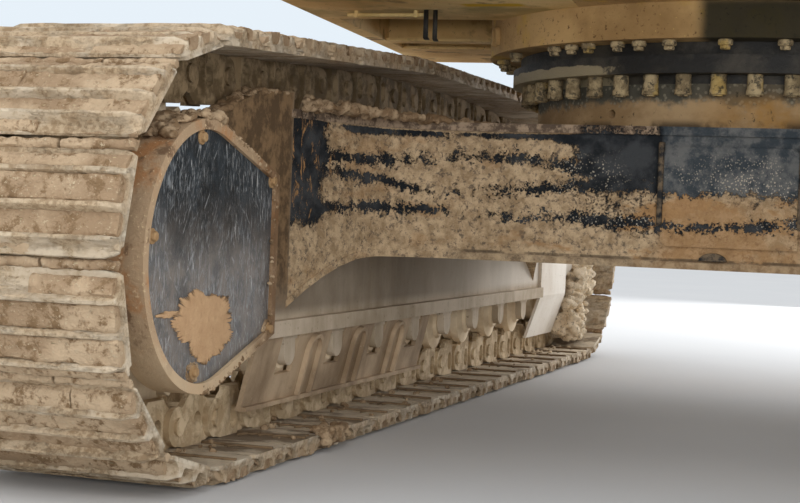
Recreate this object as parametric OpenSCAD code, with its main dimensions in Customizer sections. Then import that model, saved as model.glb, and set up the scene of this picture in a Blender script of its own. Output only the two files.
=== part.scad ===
// Crawler undercarriage of a 45-tonne class machine, with its slewing ring
// and the base frame that turns on it. Millimetres.
// Origin on the ground under the slew axis, +Z up, +Y towards the idlers.
// Drive sprockets at the -Y end, left crawler at -X.

/* [Tracks] */
// Distance between the centre lines of the two tracks
gauge = 2640; // [2600:10:2900]
// Width of the track shoes
shoe_w = 600; // [500:10:700]
// Chain pitch, pin to pin
pitch = 228.6; // [220:0.2:236]
// Shoes on each straight run
run_shoes = 19; // [17:1:21]
// Height of a grouser above its shoe plate
grouser_h = 34.4; // [24:0.2:44]
// Thickness of a shoe plate
shoe_t = 18; // [14:1:22]
// Height of the link from its pin to the shoe
link_out = 56; // [50:1:64]
// Height of the link from its pin to the roller tread
link_in = 78; // [72:1:80]
// Outer width of the two link rails together
chain_w = 180; // [170:2:190]
// Thickness of one link rail
rail_t = 32; // [24:1:40]
// Rise of the top run at the carrier rollers
top_rise = 80; // [0:5:90]

/* [Rollers and wheels] */
// Track rollers under each side frame
rollers = 8; // [7:1:8]
// Spacing of the track rollers
roller_step = 386; // [370:1:390]
// Distance from the slew axis back to the middle of the roller row
roller_shift = 60; // [20:5:80]
// Tread radius of a track roller
roller_r = 86; // [80:1:88]
// Flange radius of a track roller
roller_flange_r = 98; // [90:1:99]
// Link pitches from the slew axis to each carrier roller
carrier_pitches = 2.5; // [1.5:1:3.5]
// Radius of a carrier roller
carrier_r = 72; // [60:1:80]
// Radius of a roller axle
axle_r = 30; // [24:1:36]
// Radius of the idler axle
idler_axle_r = 48; // [40:1:60]

/* [Side frames] */
// Width of the box beam of a side frame
beam_w = 340; // [320:2:350]
// Width over the lower flanges of a side frame
flange_w = 390; // [370:2:400]
// Height of the lower edge of the flanges above the ground
flange_z = 318; // [310:1:325]
// Depth of the lower flanges
flange_h = 45; // [35:1:52]
// Distance from the flange edges to the skirts of the lower channel
flange_lip = 50; // [44:1:54]
// Height of the shoulder of the box beam
shoulder_z = 620; // [580:5:660]
// Height of the ridge of the box beam
ridge_z = 730; // [700:5:780]
// Thickness of the side frame's plates
frame_plate = 20; // [16:1:26]

/* [Travel drive guards] */
// Radius inside the rim of a travel motor guard
guard_r = 300; // [280:2:310]
// Thickness of the rim
guard_rim = 25; // [16:1:30]
// Depth of the guard in front of the side frame
guard_depth = 90; // [70:1:100]
// Reach of the guard's flat edge past the drive axle
guard_reach = 406; // [380:2:420]
// Half height of the guard's flat edge
guard_edge = 191; // [170:1:200]

/* [Carbody] */
// Half length of the carbody's middle, out to its cross webs
web_y = 940; // [900:5:960]
// Height of the top face of the carbody
deck_z = 950; // [930:5:960]
// Thickness of the carbody's top plate
top_plate = 25; // [20:1:30]
// Thickness of the carbody's bottom plate
bottom_plate = 20; // [16:1:24]
// Height of the lower face at the middle
belly_z = 540; // [500:5:550]
// Height of the lower face at the feet of the legs
foot_z = 400; // [370:5:410]
// Distance from the middle at which the lower face starts to curve down
arch_y = 1080; // [1000:10:1120]
// Half length of the legs where they meet the side frames
leg_y = 1440; // [1380:10:1480]
// Half length of the gap between the legs at the side frames
gap_y = 560; // [500:10:620]
// Distance from a side frame at which the cross webs turn into the legs
knee_gap = 165; // [150:5:200]
// Radius of the bend from cross web to leg
leg_bend = 300; // [250:10:320]
// Overhang of the top plate past the webs
overhang = 15; // [8:1:24]

/* [Slewing ring] */
// Height of the top of the pedestal
pedestal_z = 1090; // [1080:1:1095]
// Outer radius of the inner race and of the pedestal under it
race_r = 780; // [776:1:784]
// Least rim of the inner race outside its gear's pitch circle
gear_rim = 110; // [104:1:118]
// Width of the outer race
outer_w = 89; // [84:1:96]
// Height of the underside of the outer race
outer_z = 1115; // [1112:1:1120]
// Height of the outer race
outer_h = 54; // [48:1:60]
// Bolts through the outer race
ring_bolts = 48; // [36:1:54]
// Radius of a spacer sleeve on those bolts
sleeve_r = 24; // [20:1:25]
// Length of a spacer sleeve with its bolt head
sleeve_h = 61; // [50:1:64]

/* [Turning base frame] */
// Angle of the turning frame to the tracks, to the left
slew = 5; // [0:1:5]
// Reach of the drum on the ring past the inner race
drum_lip = 170; // [150:2:190]
// Height of the underside of the drum
drum_z = 1208; // [1205:1:1212]
// Height of the underside of the base frame
base_z = 1313; // [1305:1:1320]
// Thickness of the base frame's plate
base_t = 25; // [20:1:32]
// Half width of the base frame with its side decks
deck_w = 1468; // [1440:4:1468]
// Reach of the side decks to the front
deck_front = 1060; // [1000:10:1200]
// Reach of the side decks to the rear
deck_rear = 1700; // [1600:10:1700]
// Reach of the centre frame to the rear
centre_rear = 2350; // [2200:10:2400]
// Distance of each main plate from the middle
main_x = 330; // [300:5:350]
// Thickness of a main plate
main_t = 40; // [30:1:45]
// Half width of the centre frame's base plate
centre_half = 560; // [520:10:600]
// Reach of the main plates to the front
main_front = 1600; // [1560:10:1640]
// Distance from the slew axis to the boom foot bores
boom_y = 1050; // [1000:10:1100]
// Height of the boom foot bores above the base plate
boom_rise = 820; // [760:10:840]
// Distance from the slew axis to the boom cylinder foot bores
ram_y = 1440; // [1400:10:1460]
// Height of the boom cylinder foot bores above the base plate
ram_rise = 170; // [160:5:190]
// Radius of the boom foot bores
boom_pin_r = 55; // [45:1:60]
// Radius of the boom cylinder foot bores
ram_pin_r = 45; // [40:1:50]

/* [Hidden] */
$fn = 64;
wrap_shoes = 6;
links = 2 * (run_shoes + wrap_shoes);
run_l = run_shoes * pitch;
drive_y = -run_l / 2;
idler_y = run_l / 2;
pin_r = pitch / (2 * sin(90 / wrap_shoes));
axle_z = pin_r + link_out + shoe_t + grouser_h;
low_z = axle_z - pin_r;
top_z = axle_z + pin_r;
tread_z = low_z + link_in;
roller_z = tread_z + roller_r;
rail_r = pin_r * cos(90 / wrap_shoes) - link_in;
channel_z = roller_z + roller_flange_r + 8;
skirt_x = flange_w / 2 - flange_lip;
half_beam = beam_w / 2;
half_flange = flange_w / 2;
hub_r = 264;
// Module and teeth of the internal gear and the swing pinion
gear_m = 20;
ring_teeth = 2 * floor((race_r - gear_rim) / gear_m);
pinion_teeth = 12;
ring_pitch_r = gear_m * ring_teeth / 2;
pinion_pitch_r = gear_m * pinion_teeth / 2;
pinion_y = ring_pitch_r - pinion_pitch_r;
race_top = outer_z + outer_h + 6;
bolt_circle_r = race_r + sleeve_r + 11;
outer_r = race_r + outer_w;
drum_r = race_r + drum_lip;
well_r = race_r - 90;
well_z = belly_z + 70;
hole_r = 300;
frame_top = base_z + base_t;
carrier_y = carrier_pitches * pitch;
beam_front = idler_y - 620;
frame_x = gauge / 2 - half_beam;
knee_x = frame_x - knee_gap;
waist_x = race_r + 40;
seat = 0.3;

dust = [0.70, 0.62, 0.51];
black = [0.16, 0.18, 0.19];
ochre = [0.60, 0.46, 0.24];
brown = [0.55, 0.42, 0.28];
steel = [0.45, 0.42, 0.38];

// Extrudes a profile drawn in Y and Z from x0 to x1
module along_x(x0, x1) {
    translate([x0, 0, 0]) rotate([90, 0, 90]) linear_extrude(x1 - x0) children();
}

// Extrudes a profile drawn in X and Z from y0 to y1
module along_y(y0, y1) {
    translate([0, y1, 0]) rotate([90, 0, 0]) linear_extrude(y1 - y0) children();
}

// A round bar along X from x0 to x1
module bar_x(r, x0, x1) {
    translate([x0, 0, 0]) rotate([0, 90, 0]) cylinder(r = r, h = x1 - x0);
}

// Places a piece drawn about the left track's centre line, +X inboard
module on_side(side) {
    if (side == "left") translate([-gauge / 2, 0, 0]) children();
    else mirror([1, 0, 0]) translate([-gauge / 2, 0, 0]) children();
}

// Turns a piece of the base frame to its parked angle
module turned() {
    rotate([0, 0, slew]) children();
}

// Rise of the top run: level between the carriers, falling to both wheels
function lift(y) =
    top_rise * min(1, (run_l / 2 - abs(y)) / (run_l / 2 - carrier_y));

// Pin k of the chain in Y and Z: bottom run, idler, top run, sprocket
function pin(i) =
    let (k = i % links, n = run_shoes, w = wrap_shoes, a = (k - n) * 180 / w)
    k <= n ? [drive_y + k * pitch, low_z] :
    k <= n + w ? [idler_y + pin_r * cos(a - 90), axle_z + pin_r * sin(a - 90)] :
    k <= 2 * n + w
        ? let (y = idler_y - (k - n - w) * pitch) [y, top_z + lift(y)] :
    let (b = 90 + (k - 2 * n - w) * 180 / w)
        [drive_y + pin_r * cos(b), axle_z + pin_r * sin(b)];

function along(i) = let (d = pin(i + 1) - pin(i)) d / norm(d);
function outward(i) = let (t = along(i)) [t[1], -t[0]];

// A point of link i, u along the chain from its middle, v outwards
function on_link(i, u, v) =
    (pin(i) + pin(i + 1)) / 2 + along(i) * u + outward(i) * v;

// The point at pin i that lies v outwards of both of its links
function at_pin(i, v) =
    let (s = outward(i + links - 1) + outward(i)) pin(i) + s * 2 * v / (s * s);

// Turn of the chain at pin i
function bend(i) = norm(outward(i + links - 1) - outward(i));

// One shoe in section: leading lip, then three grousers with hollows between
module shoe_loop() {
    half = pitch / 2;
    plate = link_out + shoe_t;
    tip = plate + grouser_h;
    crest = 7;
    peaks = [-0.22 * pitch, 0.11 * pitch, half - 16];
    outer = [
        for (i = [0 : links - 1]) each [
            on_link(i, 4 - half, plate),
            for (p = [0 : 2]) each [
                on_link(i, peaks[p] - crest, tip),
                on_link(i, peaks[p] + crest, tip),
                if (p < 2) on_link(i, (peaks[p] + peaks[p + 1]) / 2, plate)
            ],
            at_pin(i + 1, link_out + shoe_t / 3)
        ]
    ];
    inner = [
        for (i = [0 : links - 1]) each [
            on_link(i, 10 - half, link_out), on_link(i, half - 10, link_out)
        ]
    ];
    difference() {
        polygon(outer);
        polygon(inner);
    }
}

module track(side) {
    color(dust) on_side(side) along_x(-shoe_w / 2, shoe_w / 2) shoe_loop();
}

// The two link rails of a chain, which the shoes are bolted to
module chain(side) {
    half = pitch / 2;
    bends = [for (i = [0 : links - 1]) if (bend(i) > 0.001) i];
    color(steel) on_side(side)
        for (x = [-chain_w / 2, chain_w / 2 - rail_t])
            along_x(x, x + rail_t) difference() {
                polygon([for (i = bends) each [
                    on_link(i + links - 1, half - 12, link_out - seat),
                    on_link(i, 12 - half, link_out - seat)
                ]]);
                polygon([for (i = bends) at_pin(i, -link_in)]);
            }
}

// Toothed ring, with a gap for a bushing at every second space
module sprocket(side) {
    teeth = 4 * wrap_shoes;
    step = 360 / teeth;
    root = pin_r - 40;
    tip = pin_r + 14;
    form = [[-0.42, root], [-0.2, tip - 14], [-0.12, tip], [0.12, tip], [0.2, tip - 14], [0.42, root]];
    width = chain_w - 2 * rail_t - 30;
    color(steel) on_side(side) translate([0, drive_y, axle_z])
        along_x(-width / 2, width / 2) difference() {
            polygon([for (k = [0 : teeth - 1], q = form)
                let (a = (k + 0.5 + q[0]) * step) q[1] * [cos(a), sin(a)]]);
            circle(r = hub_r + seat);
        }
}

// Hub and gear housing of a travel drive, through the sprocket
module final_drive(side) {
    rim_x = (chain_w - 2 * rail_t - 30) / 2;
    frame_side = half_beam - 2 * frame_plate;
    form = [
        [0, -235], [120, -235], [165, -215], [185, -180], [225, -150], [250, -100],
        [rail_r - 21, -rim_x - 28], [rail_r - 6, -rim_x - 28], [rail_r - 6, -rim_x - seat],
        [hub_r, -rim_x - seat], [hub_r, frame_side - 40], [hub_r - 34, frame_side], [0, frame_side]
    ];
    color(steel) on_side(side) translate([0, drive_y, axle_z])
        rotate([0, 90, 0]) rotate_extrude() polygon(form);
}

module travel_motor(side) {
    color(steel) on_side(side) translate([0, drive_y, axle_z])
        bar_x(170, half_beam - 2 * frame_plate, half_beam + guard_depth - 30);
}

// Guard outline in Y and Z about the drive axle: a circle drawn out to a flat edge
module guard_form(grow) {
    r = guard_r + grow;
    far = [guard_reach + grow, guard_edge + grow * 0.6];
    a = atan2(far[1], far[0]) + acos(r / norm(far));
    circle(r = r);
    polygon([far, r * [cos(a), sin(a)], r * [cos(a), -sin(a)], [far[0], -far[1]]]);
}

module motor_guard(side) {
    color(brown) on_side(side) translate([0, drive_y, axle_z])
        along_x(half_beam, half_beam + guard_depth) difference() {
            guard_form(guard_rim);
            guard_form(0);
        }
}

module guard_cover(side) {
    color(black) on_side(side) translate([0, drive_y, axle_z])
        along_x(half_beam + guard_depth - 22, half_beam + guard_depth - 10)
            guard_form(-seat);
}

// Cross-section of the box beam with its flanges
module beam_form() {
    polygon([
        [-half_flange, flange_z], [-skirt_x, flange_z], [-skirt_x, channel_z],
        [skirt_x, channel_z], [skirt_x, flange_z], [half_flange, flange_z],
        [half_flange, flange_z + flange_h], [half_beam, flange_z + flange_h],
        [half_beam, shoulder_z], [half_beam - 80, ridge_z],
        [80 - half_beam, ridge_z], [-half_beam, shoulder_z],
        [-half_beam, flange_z + flange_h], [-half_flange, flange_z + flange_h]
    ]);
}

module side_frame(side) {
    back = drive_y + guard_reach + 60;
    plate_x = half_beam - 2 * frame_plate;
    saddle_y = carrier_y + 168;
    color(dust) on_side(side) {
        difference() {
            union() {
                along_y(back, beam_front) beam_form();
                // Inner plate that carries the drive, sweeping up to the carbody's leg
                along_x(plate_x, half_beam) {
                    translate([drive_y, axle_z]) circle(r = guard_r - 12);
                    polygon([
                        [drive_y, axle_z - guard_r + 12], [back + 10, flange_z + flange_h],
                        [-leg_y, flange_z + flange_h], [-leg_y, deck_z + 45],
                        [-leg_y - 230, deck_z + 32], [drive_y + 250, deck_z - 40],
                        [drive_y + 120, axle_z + guard_r - 10], [drive_y, axle_z + guard_r - 12]
                    ]);
                }
                // Saddles that the legs sit on
                for (s = [-1, 1])
                    along_y(s > 0 ? saddle_y : -leg_y, s > 0 ? leg_y : -saddle_y)
                        polygon([
                            [half_beam, shoulder_z - 20], [half_beam, deck_z - top_plate],
                            [60, deck_z - top_plate], [-half_beam, shoulder_z + 60],
                            [-half_beam, shoulder_z - 20]
                        ]);
                // Fork plates that the idler's yoke slides between
                for (x = [-half_beam, half_beam - 28])
                    along_x(x, x + 28) {
                        polygon([
                            [beam_front - 10, flange_z + flange_h], [idler_y - 60, axle_z - 150],
                            [idler_y + 90, axle_z - 110], [idler_y + 130, axle_z - 40],
                            [idler_y + 130, axle_z + 40], [idler_y + 90, axle_z + 110],
                            [idler_y - 60, axle_z + 140], [beam_front - 10, shoulder_z]
                        ]);
                    }
            }
            // Bore for the travel motor
            translate([0, drive_y, axle_z]) bar_x(180, plate_x - 5, half_beam + 5);
            // Slots for the idler axle
            for (x = [-half_beam, half_beam - 28])
                along_x(x - 5, x + 33) axle_slot();
        }
    }
}

// Slot for the idler axle, with room for the yoke to move back
module axle_slot() {
    translate([idler_y - 90, axle_z - idler_axle_r - seat])
        square([90, 2 * (idler_axle_r + seat)]);
    for (y = [idler_y - 90, idler_y])
        translate([y, axle_z]) circle(r = idler_axle_r + seat);
}

// Idler wheel: treads for the rails and a centre flange between them
module idler(side) {
    tread = rail_r - seat;
    flange_x = chain_w / 2 - rail_t - 6;
    web_r = tread - 55;
    form = [
        [idler_axle_r + 5, -100], [110, -100], [115, -30], [web_r, -25], [web_r, -92],
        [tread, -92], [tread, -flange_x], [tread + 20, -flange_x + 8],
        [tread + 20, flange_x - 8], [tread, flange_x], [tread, 92],
        [web_r, 92], [web_r, 25], [115, 30], [110, 100], [idler_axle_r + 5, 100]
    ];
    color(steel) on_side(side) translate([0, idler_y, axle_z])
        rotate([0, 90, 0]) rotate_extrude() polygon(form);
}

// Axle, bearing blocks and the yoke that the recoil spring pushes
module idler_yoke(side) {
    color(steel) on_side(side) {
        translate([0, idler_y, axle_z])
            bar_x(idler_axle_r, -half_beam - 12, half_beam + 12);
        for (x = [-half_beam + 29, 103])
            translate([x, idler_y - 110, axle_z - 85]) cube([half_beam - 132, 200, 170]);
        for (x = [-half_beam + 29, 103])
            translate([x, idler_y - 560, axle_z - 60]) cube([half_beam - 132, 460, 120]);
        translate([-half_beam + 29, idler_y - 610, axle_z - 60])
            cube([beam_w - 58, 60, 120]);
    }
}

function roller_y(k) = (k - (rollers - 1) / 2) * roller_step - roller_shift;

// Track rollers: two treads, outer flanges and a waist
module track_rollers(side) {
    rail_in = chain_w / 2 - rail_t;
    r = roller_r - seat;
    form = [
        [0, -skirt_x + seat], [52, -skirt_x + seat], [60, -skirt_x + 12],
        [roller_flange_r, -skirt_x + 22], [roller_flange_r, -chain_w / 2 - 6],
        [r, -chain_w / 2 - 2], [r, -rail_in + 6],
        [r - 18, -rail_in + 14], [r - 18, rail_in - 14], [r, rail_in - 6],
        [r, chain_w / 2 + 2], [roller_flange_r, chain_w / 2 + 6],
        [roller_flange_r, skirt_x - 22], [60, skirt_x - 12], [52, skirt_x - seat], [0, skirt_x - seat]
    ];
    color(steel) on_side(side)
        for (k = [0 : rollers - 1])
            translate([0, roller_y(k), roller_z])
                rotate([0, 90, 0]) rotate_extrude() polygon(form);
}

// Collars that hold the roller axles under the flanges
module roller_collars(side) {
    r = 42;
    t = 26;
    color(dust) on_side(side)
        for (k = [0 : rollers - 1], x = [-skirt_x - t, skirt_x])
            translate([0, roller_y(k), 0]) along_x(x, x + t) {
                translate([0, roller_z]) circle(r = r);
                translate([-r, roller_z]) square([2 * r, flange_z - roller_z]);
                translate([-r - 14, flange_z - 14]) square([2 * r + 28, 14]);
            }
}

// Carrier rollers under the top run, on their posts
module carrier_rollers(side) {
    z = top_z + lift(carrier_y) - link_in - carrier_r - 4;
    color(steel) on_side(side)
        for (s = [-1, 1]) translate([0, s * carrier_y, z]) {
            bar_x(carrier_r, -chain_w / 2 - 4, -chain_w / 2 + rail_t + 8);
            bar_x(carrier_r - 16, -chain_w / 2 + rail_t + 8, chain_w / 2 - rail_t - 8);
            bar_x(carrier_r, chain_w / 2 - rail_t - 8, chain_w / 2 + 4);
            bar_x(axle_r, chain_w / 2 + 4, chain_w / 2 + 44);
            along_x(chain_w / 2 + 12, chain_w / 2 + 40) polygon([
                [-45, 20], [45, 20], [75, ridge_z + 10 - z], [-75, ridge_z + 10 - z]
            ]);
            translate([-60, -75, ridge_z + seat - z])
                cube([chain_w / 2 + 100, 150, 12]);
        }
}

// Stiffener of the chain guard: two ribs joined by a round top
module guard_rib(half, high) {
    translate([0, high - half]) circle(r = half);
    translate([-half, 0]) square([2 * half, high - half]);
}

// Ribbed guard that keeps the chain in line below the rear rollers. Its plate
// leans outboard towards its toe and is notched round the roller collars
module chain_guard(side) {
    t = 14;
    toe = [chain_w / 2 + 26, low_z + 12];
    rise = flange_z - seat - toe[1];
    lean = atan2(half_flange - 32 - toe[0], rise);
    long = rise / cos(lean);
    y0 = roller_y(0) - 240;
    y1 = roller_y(3) + 150;
    notch = (roller_z - 62 - toe[1]) / cos(lean);
    color(dust) on_side(side) {
        intersection() {
            translate([toe[0], 0, toe[1]]) rotate([0, lean, 0]) {
                along_x(0, t) difference() {
                    translate([y0, -20]) square([y1 - y0, long + 60]);
                    for (k = [0 : 3])
                        translate([roller_y(k) - 62, notch]) square([124, long]);
                }
                for (k = [0 : 2])
                    translate([0, roller_y(k) + roller_step / 2, 0]) along_x(t - 1, 2 * t) difference() {
                        guard_rib(54, long - 3);
                        translate([0, -1]) guard_rib(42, long - 14);
                    }
            }
            translate([0, y0, toe[1]]) cube([beam_w, y1 - y0, rise]);
        }
        // Folded lower edge
        translate([toe[0], y0, toe[1]]) cube([t + 18, y1 - y0, 12]);
    }
}

// Bent plate that guides the chain on to the idler
module front_guide(side) {
    t = 14;
    toe = [chain_w / 2 + 18, low_z + 22];
    color(dust) on_side(side)
        along_y(beam_front + seat, idler_y - 120) polygon([
            [half_beam, axle_z - 60], [half_beam + t, axle_z - 60], [half_beam + t, flange_z + 4],
            toe + [t, 0], toe, [half_beam, flange_z]
        ]);
}

// Plan of the carbody: straight cross webs that bend out to the side frames
module carbody_plan(grow) {
    w = web_y + grow;
    knee = [knee_x, w];
    foot = [frame_x, leg_y + grow];
    turn = atan2(foot[1] - knee[1], foot[0] - knee[0]);
    r = leg_bend - grow;
    t = r * tan(turn / 2);
    leg = [
        [0, 0], [0, w], knee, foot, [frame_x, gap_y - grow],
        [waist_x + grow, gap_y - grow], [waist_x + grow, 0]
    ];
    fillet = [knee - [t, 0], knee, knee + t * [cos(turn), sin(turn)]];
    for (s = [-1, 1], e = [-1, 1]) {
        polygon([for (q = leg) [s * q[0], e * q[1]]]);
        difference() {
            polygon([for (q = fillet) [s * q[0], e * q[1]]]);
            translate([s * (knee_x - t), e * (w + r)]) circle(r = r + seat);
        }
    }
}

// Height of the carbody's lower face: level, then curving down along the legs
function belly(y) =
    belly_z - (belly_z - foot_z) * pow(max(0, (y - arch_y) / (leg_y - arch_y)), 1.7);

// The space above the lower face and rise, in Y and Z
module above_belly(rise) {
    last = 6;
    ys = [for (k = [0 : last]) arch_y + k * (leg_y - arch_y) / 5];
    polygon(concat(
        [for (y = ys) [y, belly(y) + rise]],
        [[ys[last], deck_z], [-ys[last], deck_z]],
        [for (k = [last : -1 : 0]) [-ys[k], belly(ys[k]) + rise]]
    ));
}

module carbody() {
    hatch_w = 390;
    hatch_z = [605, 893];
    color(black) difference() {
        union() {
            intersection() {
                translate([0, 0, foot_z - 50]) linear_extrude(deck_z - foot_z + 50) carbody_plan(0);
                along_x(-frame_x, frame_x) above_belly(0);
            }
            // Lower plate, a little wider than the webs
            intersection() {
                translate([0, 0, foot_z - 50]) linear_extrude(deck_z - foot_z) carbody_plan(overhang - 5);
                along_x(-frame_x, frame_x) difference() {
                    above_belly(0);
                    above_belly(bottom_plate);
                }
            }
            translate([0, 0, deck_z - top_plate]) linear_extrude(top_plate) carbody_plan(overhang);
            // Covers over the hatches in both cross webs
            for (e = [-1, 1])
                along_y(e > 0 ? web_y : -web_y - 12, e > 0 ? web_y + 12 : -web_y) {
                    translate([-hatch_w / 2, hatch_z[0]]) square([hatch_w, hatch_z[1] - hatch_z[0] - 30]);
                    translate([-hatch_w / 2 + 30, hatch_z[0]]) square([hatch_w - 60, hatch_z[1] - hatch_z[0]]);
                    for (x = [-1, 1])
                        translate([x * (hatch_w / 2 - 30), hatch_z[1] - 30]) circle(r = 30);
                }
        }
        // Well for the swivel joint, open through the lower plate
        translate([0, 0, well_z]) cylinder(r = well_r, h = deck_z);
        translate([0, 0, belly_z - 5]) cylinder(r = hole_r, h = deck_z);
    }
}

module ring_pedestal() {
    wall = 40;
    color(ochre) difference() {
        translate([0, 0, deck_z]) cylinder(r = race_r, h = pedestal_z - deck_z);
        translate([0, 0, deck_z - 1]) cylinder(r = race_r - wall, h = pedestal_z - deck_z - 23);
        cylinder(r = race_r - 2 * wall, h = pedestal_z + 1);
        // Grease hole
        rotate([0, 0, 238.6]) translate([race_r - 60, 0, deck_z + 52])
            rotate([0, 90, 0]) cylinder(r = 14, h = 80);
    }
}

// Involute angle of a pressure angle, in degrees
function inv(a) = tan(a) * 180 / PI - a;

// Outline of a spur gear with one tooth on +X; slack thickens or thins its teeth
module gear_form(teeth, root, tip, slack) {
    pa = 25;
    r = gear_m * teeth / 2;
    base = r * cos(pa);
    low = max(root, base + 0.01);
    flank = [for (k = [0 : 4])
        let (q = low + (tip - low) * k / 4)
        [q, 90 / teeth + inv(pa) - inv(acos(base / q)) + slack / r * 180 / PI]];
    polygon([for (k = [0 : teeth - 1]) each [
        if (root < low) root * [cos(k * 360 / teeth - flank[0][1]), sin(k * 360 / teeth - flank[0][1])],
        for (f = flank) f[0] * [cos(k * 360 / teeth - f[1]), sin(k * 360 / teeth - f[1])],
        for (j = [4 : -1 : 0]) let (f = flank[j])
            f[0] * [cos(k * 360 / teeth + f[1]), sin(k * 360 / teeth + f[1])],
        if (root < low) root * [cos(k * 360 / teeth + flank[0][1]), sin(k * 360 / teeth + flank[0][1])]
    ]]);
}

// Inner race with its internal gear, fixed on the pedestal
module inner_race_gear() {
    color(steel) translate([0, 0, pedestal_z]) linear_extrude(race_top - pedestal_z)
        difference() {
            circle(r = race_r);
            rotate(90 + slew)
                gear_form(ring_teeth, ring_pitch_r - 0.8 * gear_m, ring_pitch_r + gear_m, 0.25);
        }
}

// Oil swivel in the well, its lower part held by the carbody
module swivel_joint() {
    r = 90;
    color(steel) {
        translate([0, 0, well_z]) difference() {
            cylinder(r = hole_r + 60, h = 16);
            translate([0, 0, -1]) cylinder(r = r, h = 20);
        }
        translate([0, 0, well_z - 50]) cylinder(r = r + 15, h = 50);
        translate([0, 0, well_z - 10]) cylinder(r = r - 1, h = deck_z + 80 - well_z);
    }
}

// Outer race, bolted up to the drum
module outer_race() {
    color(steel) difference() {
        union() {
            translate([0, 0, outer_z]) cylinder(r = outer_r, h = outer_h);
            translate([0, 0, outer_z]) cylinder(r = outer_r - 24, h = drum_z - outer_z);
        }
        translate([0, 0, outer_z - 1]) cylinder(r = race_r + seat, h = drum_z);
    }
}

// Spacer sleeves and bolt heads under the outer race
module race_bolts() {
    color(steel)
        for (k = [0 : ring_bolts - 1])
            rotate([0, 0, slew - 2 + k * 360 / ring_bolts])
                translate([bolt_circle_r, 0, outer_z - sleeve_h])
                    cylinder(r = sleeve_r, h = sleeve_h);
}

module turntable_drum() {
    wall = 45;
    color(ochre) difference() {
        translate([0, 0, drum_z]) cylinder(r = drum_r, h = base_z - drum_z);
        translate([0, 0, drum_z + 25]) cylinder(r = drum_r - wall, h = base_z);
        translate([0, 0, drum_z - 1]) cylinder(r = race_r + 10, h = base_z);
    }
}

// Centre frame: base plate, two main plates with the boom's bores, cross plates
module centre_frame() {
    t = base_t;
    top = frame_top;
    half = centre_half;
    boom = [boom_y, top + boom_rise];
    ram = [ram_y, top + ram_rise];
    color(ochre) turned() difference() {
        union() {
            difference() {
                translate([0, 0, base_z]) linear_extrude(t) {
                    translate([-half, -centre_rear]) square([2 * half, centre_rear + main_front]);
                    circle(r = drum_r);
                }
                translate([0, 0, base_z - 1]) cylinder(r = hole_r, h = t + 2);
                translate([0, pinion_y, base_z - 1]) cylinder(r = 150, h = t + 2);
            }
            for (s = [-1, 1])
                along_x(s * main_x - main_t / 2, s * main_x + main_t / 2) {
                    polygon([
                        [-centre_rear, top - 1], [-centre_rear, top + 330], [-700, top + 330],
                        [250, top + 480], [boom[0] - 150, boom[1] - 20], [boom[0] + 150, boom[1] - 20],
                        [ram[0] + 110, ram[1] + 40], [main_front, top - 1]
                    ]);
                    translate(boom) circle(r = 150);
                    translate(ram) circle(r = 115);
                }
            for (s = [-1, 1])
                along_x(s * main_x - 45, s * main_x + 45) {
                    translate(boom) circle(r = 100);
                    translate(ram) circle(r = 80);
                }
            // Top flanges of the main plates and the cross plates between them
            for (s = [-1, 1])
                translate([s * main_x - 90, -centre_rear, top + 310]) cube([180, centre_rear - 750, 22]);
            for (y = [-centre_rear, -1400, -520, 980])
                translate([-main_x, y, top - 1]) cube([2 * main_x, 24, 300]);
        }
        for (s = [-1, 1]) {
            translate([0, boom[0], boom[1]]) bar_x(boom_pin_r, s * main_x - 60, s * main_x + 60);
            translate([0, ram[0], ram[1]]) bar_x(ram_pin_r, s * main_x - 60, s * main_x + 60);
        }
        // Bolt holes for the counterweight
        for (s = [-1, 1])
            translate([s * 470, -centre_rear + 130, base_z - 1]) cylinder(r = 32, h = t + 2);
    }
}

// Side deck: hollow edge rail, outriggers from the centre frame, a tread plate
// on top, and belly plates that close the underside at the middle and front
module deck(side) {
    outriggers = [-1640, -980, -510, 240, 520];
    flange = 90;
    wall = 8;
    rail = 60;
    rail_h = 140;
    beam_h = 112;
    reach = deck_w - centre_half - 1;
    long = deck_rear + deck_front;
    color(ochre) turned() mirror([side == "left" ? 0 : 1, 0, 0]) difference() {
        translate([-deck_w, 0, base_z]) {
            difference() {
                translate([0, -deck_rear, 0]) cube([rail, long, rail_h]);
                translate([wall, -deck_rear - 1, wall])
                    cube([rail - 2 * wall, long + 2, rail_h - 2 * wall]);
            }
            translate([rail - 1, 0, 0]) {
                for (y = outriggers) {
                    translate([0, y, 0]) cube([reach - rail + 1, flange, 10]);
                    translate([0, y + flange / 2 - 6, 0]) cube([reach - rail + 1, 12, beam_h]);
                }
                for (y = [[outriggers[1], outriggers[2]], [outriggers[4], deck_front]])
                    translate([0, y[0], 0]) cube([reach - rail + 1, y[1] - y[0], wall]);
                translate([0, -deck_rear, beam_h]) cube([reach - rail + 1, long, wall]);
                for (y = [-deck_rear, deck_front - 12])
                    translate([0, y, 0]) cube([reach - rail + 1, 12, beam_h + 1]);
            }
        }
        // Room for the round part of the base plate
        translate([0, 0, base_z - 1]) cylinder(r = drum_r + seat, h = base_t + 1 + seat);
    }
}

// Swing gearbox and motor on the centre frame
module swing_drive() {
    color(steel) turned() translate([0, pinion_y, frame_top]) difference() {
        union() {
            cylinder(r = 215, h = 26);
            cylinder(r = 165, h = 330);
            translate([0, 0, 330]) cylinder(r = 130, h = 170);
            translate([0, 0, 500]) cylinder(r = 92, h = 210);
        }
        translate([0, 0, -1]) cylinder(r = 60.08, h = 121);
    }
}

// Pinion on its shaft, in mesh with the internal gear
module swing_pinion() {
    z0 = pedestal_z + 5;
    color(steel) turned() translate([0, pinion_y, 0]) {
        translate([0, 0, z0]) linear_extrude(race_top - 5 - z0) rotate(90)
            gear_form(pinion_teeth, pinion_pitch_r - gear_m, pinion_pitch_r + 0.8 * gear_m, -0.25);
        translate([0, 0, z0]) cylinder(r = 60, h = frame_top + 110 - z0);
    }
}

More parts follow.
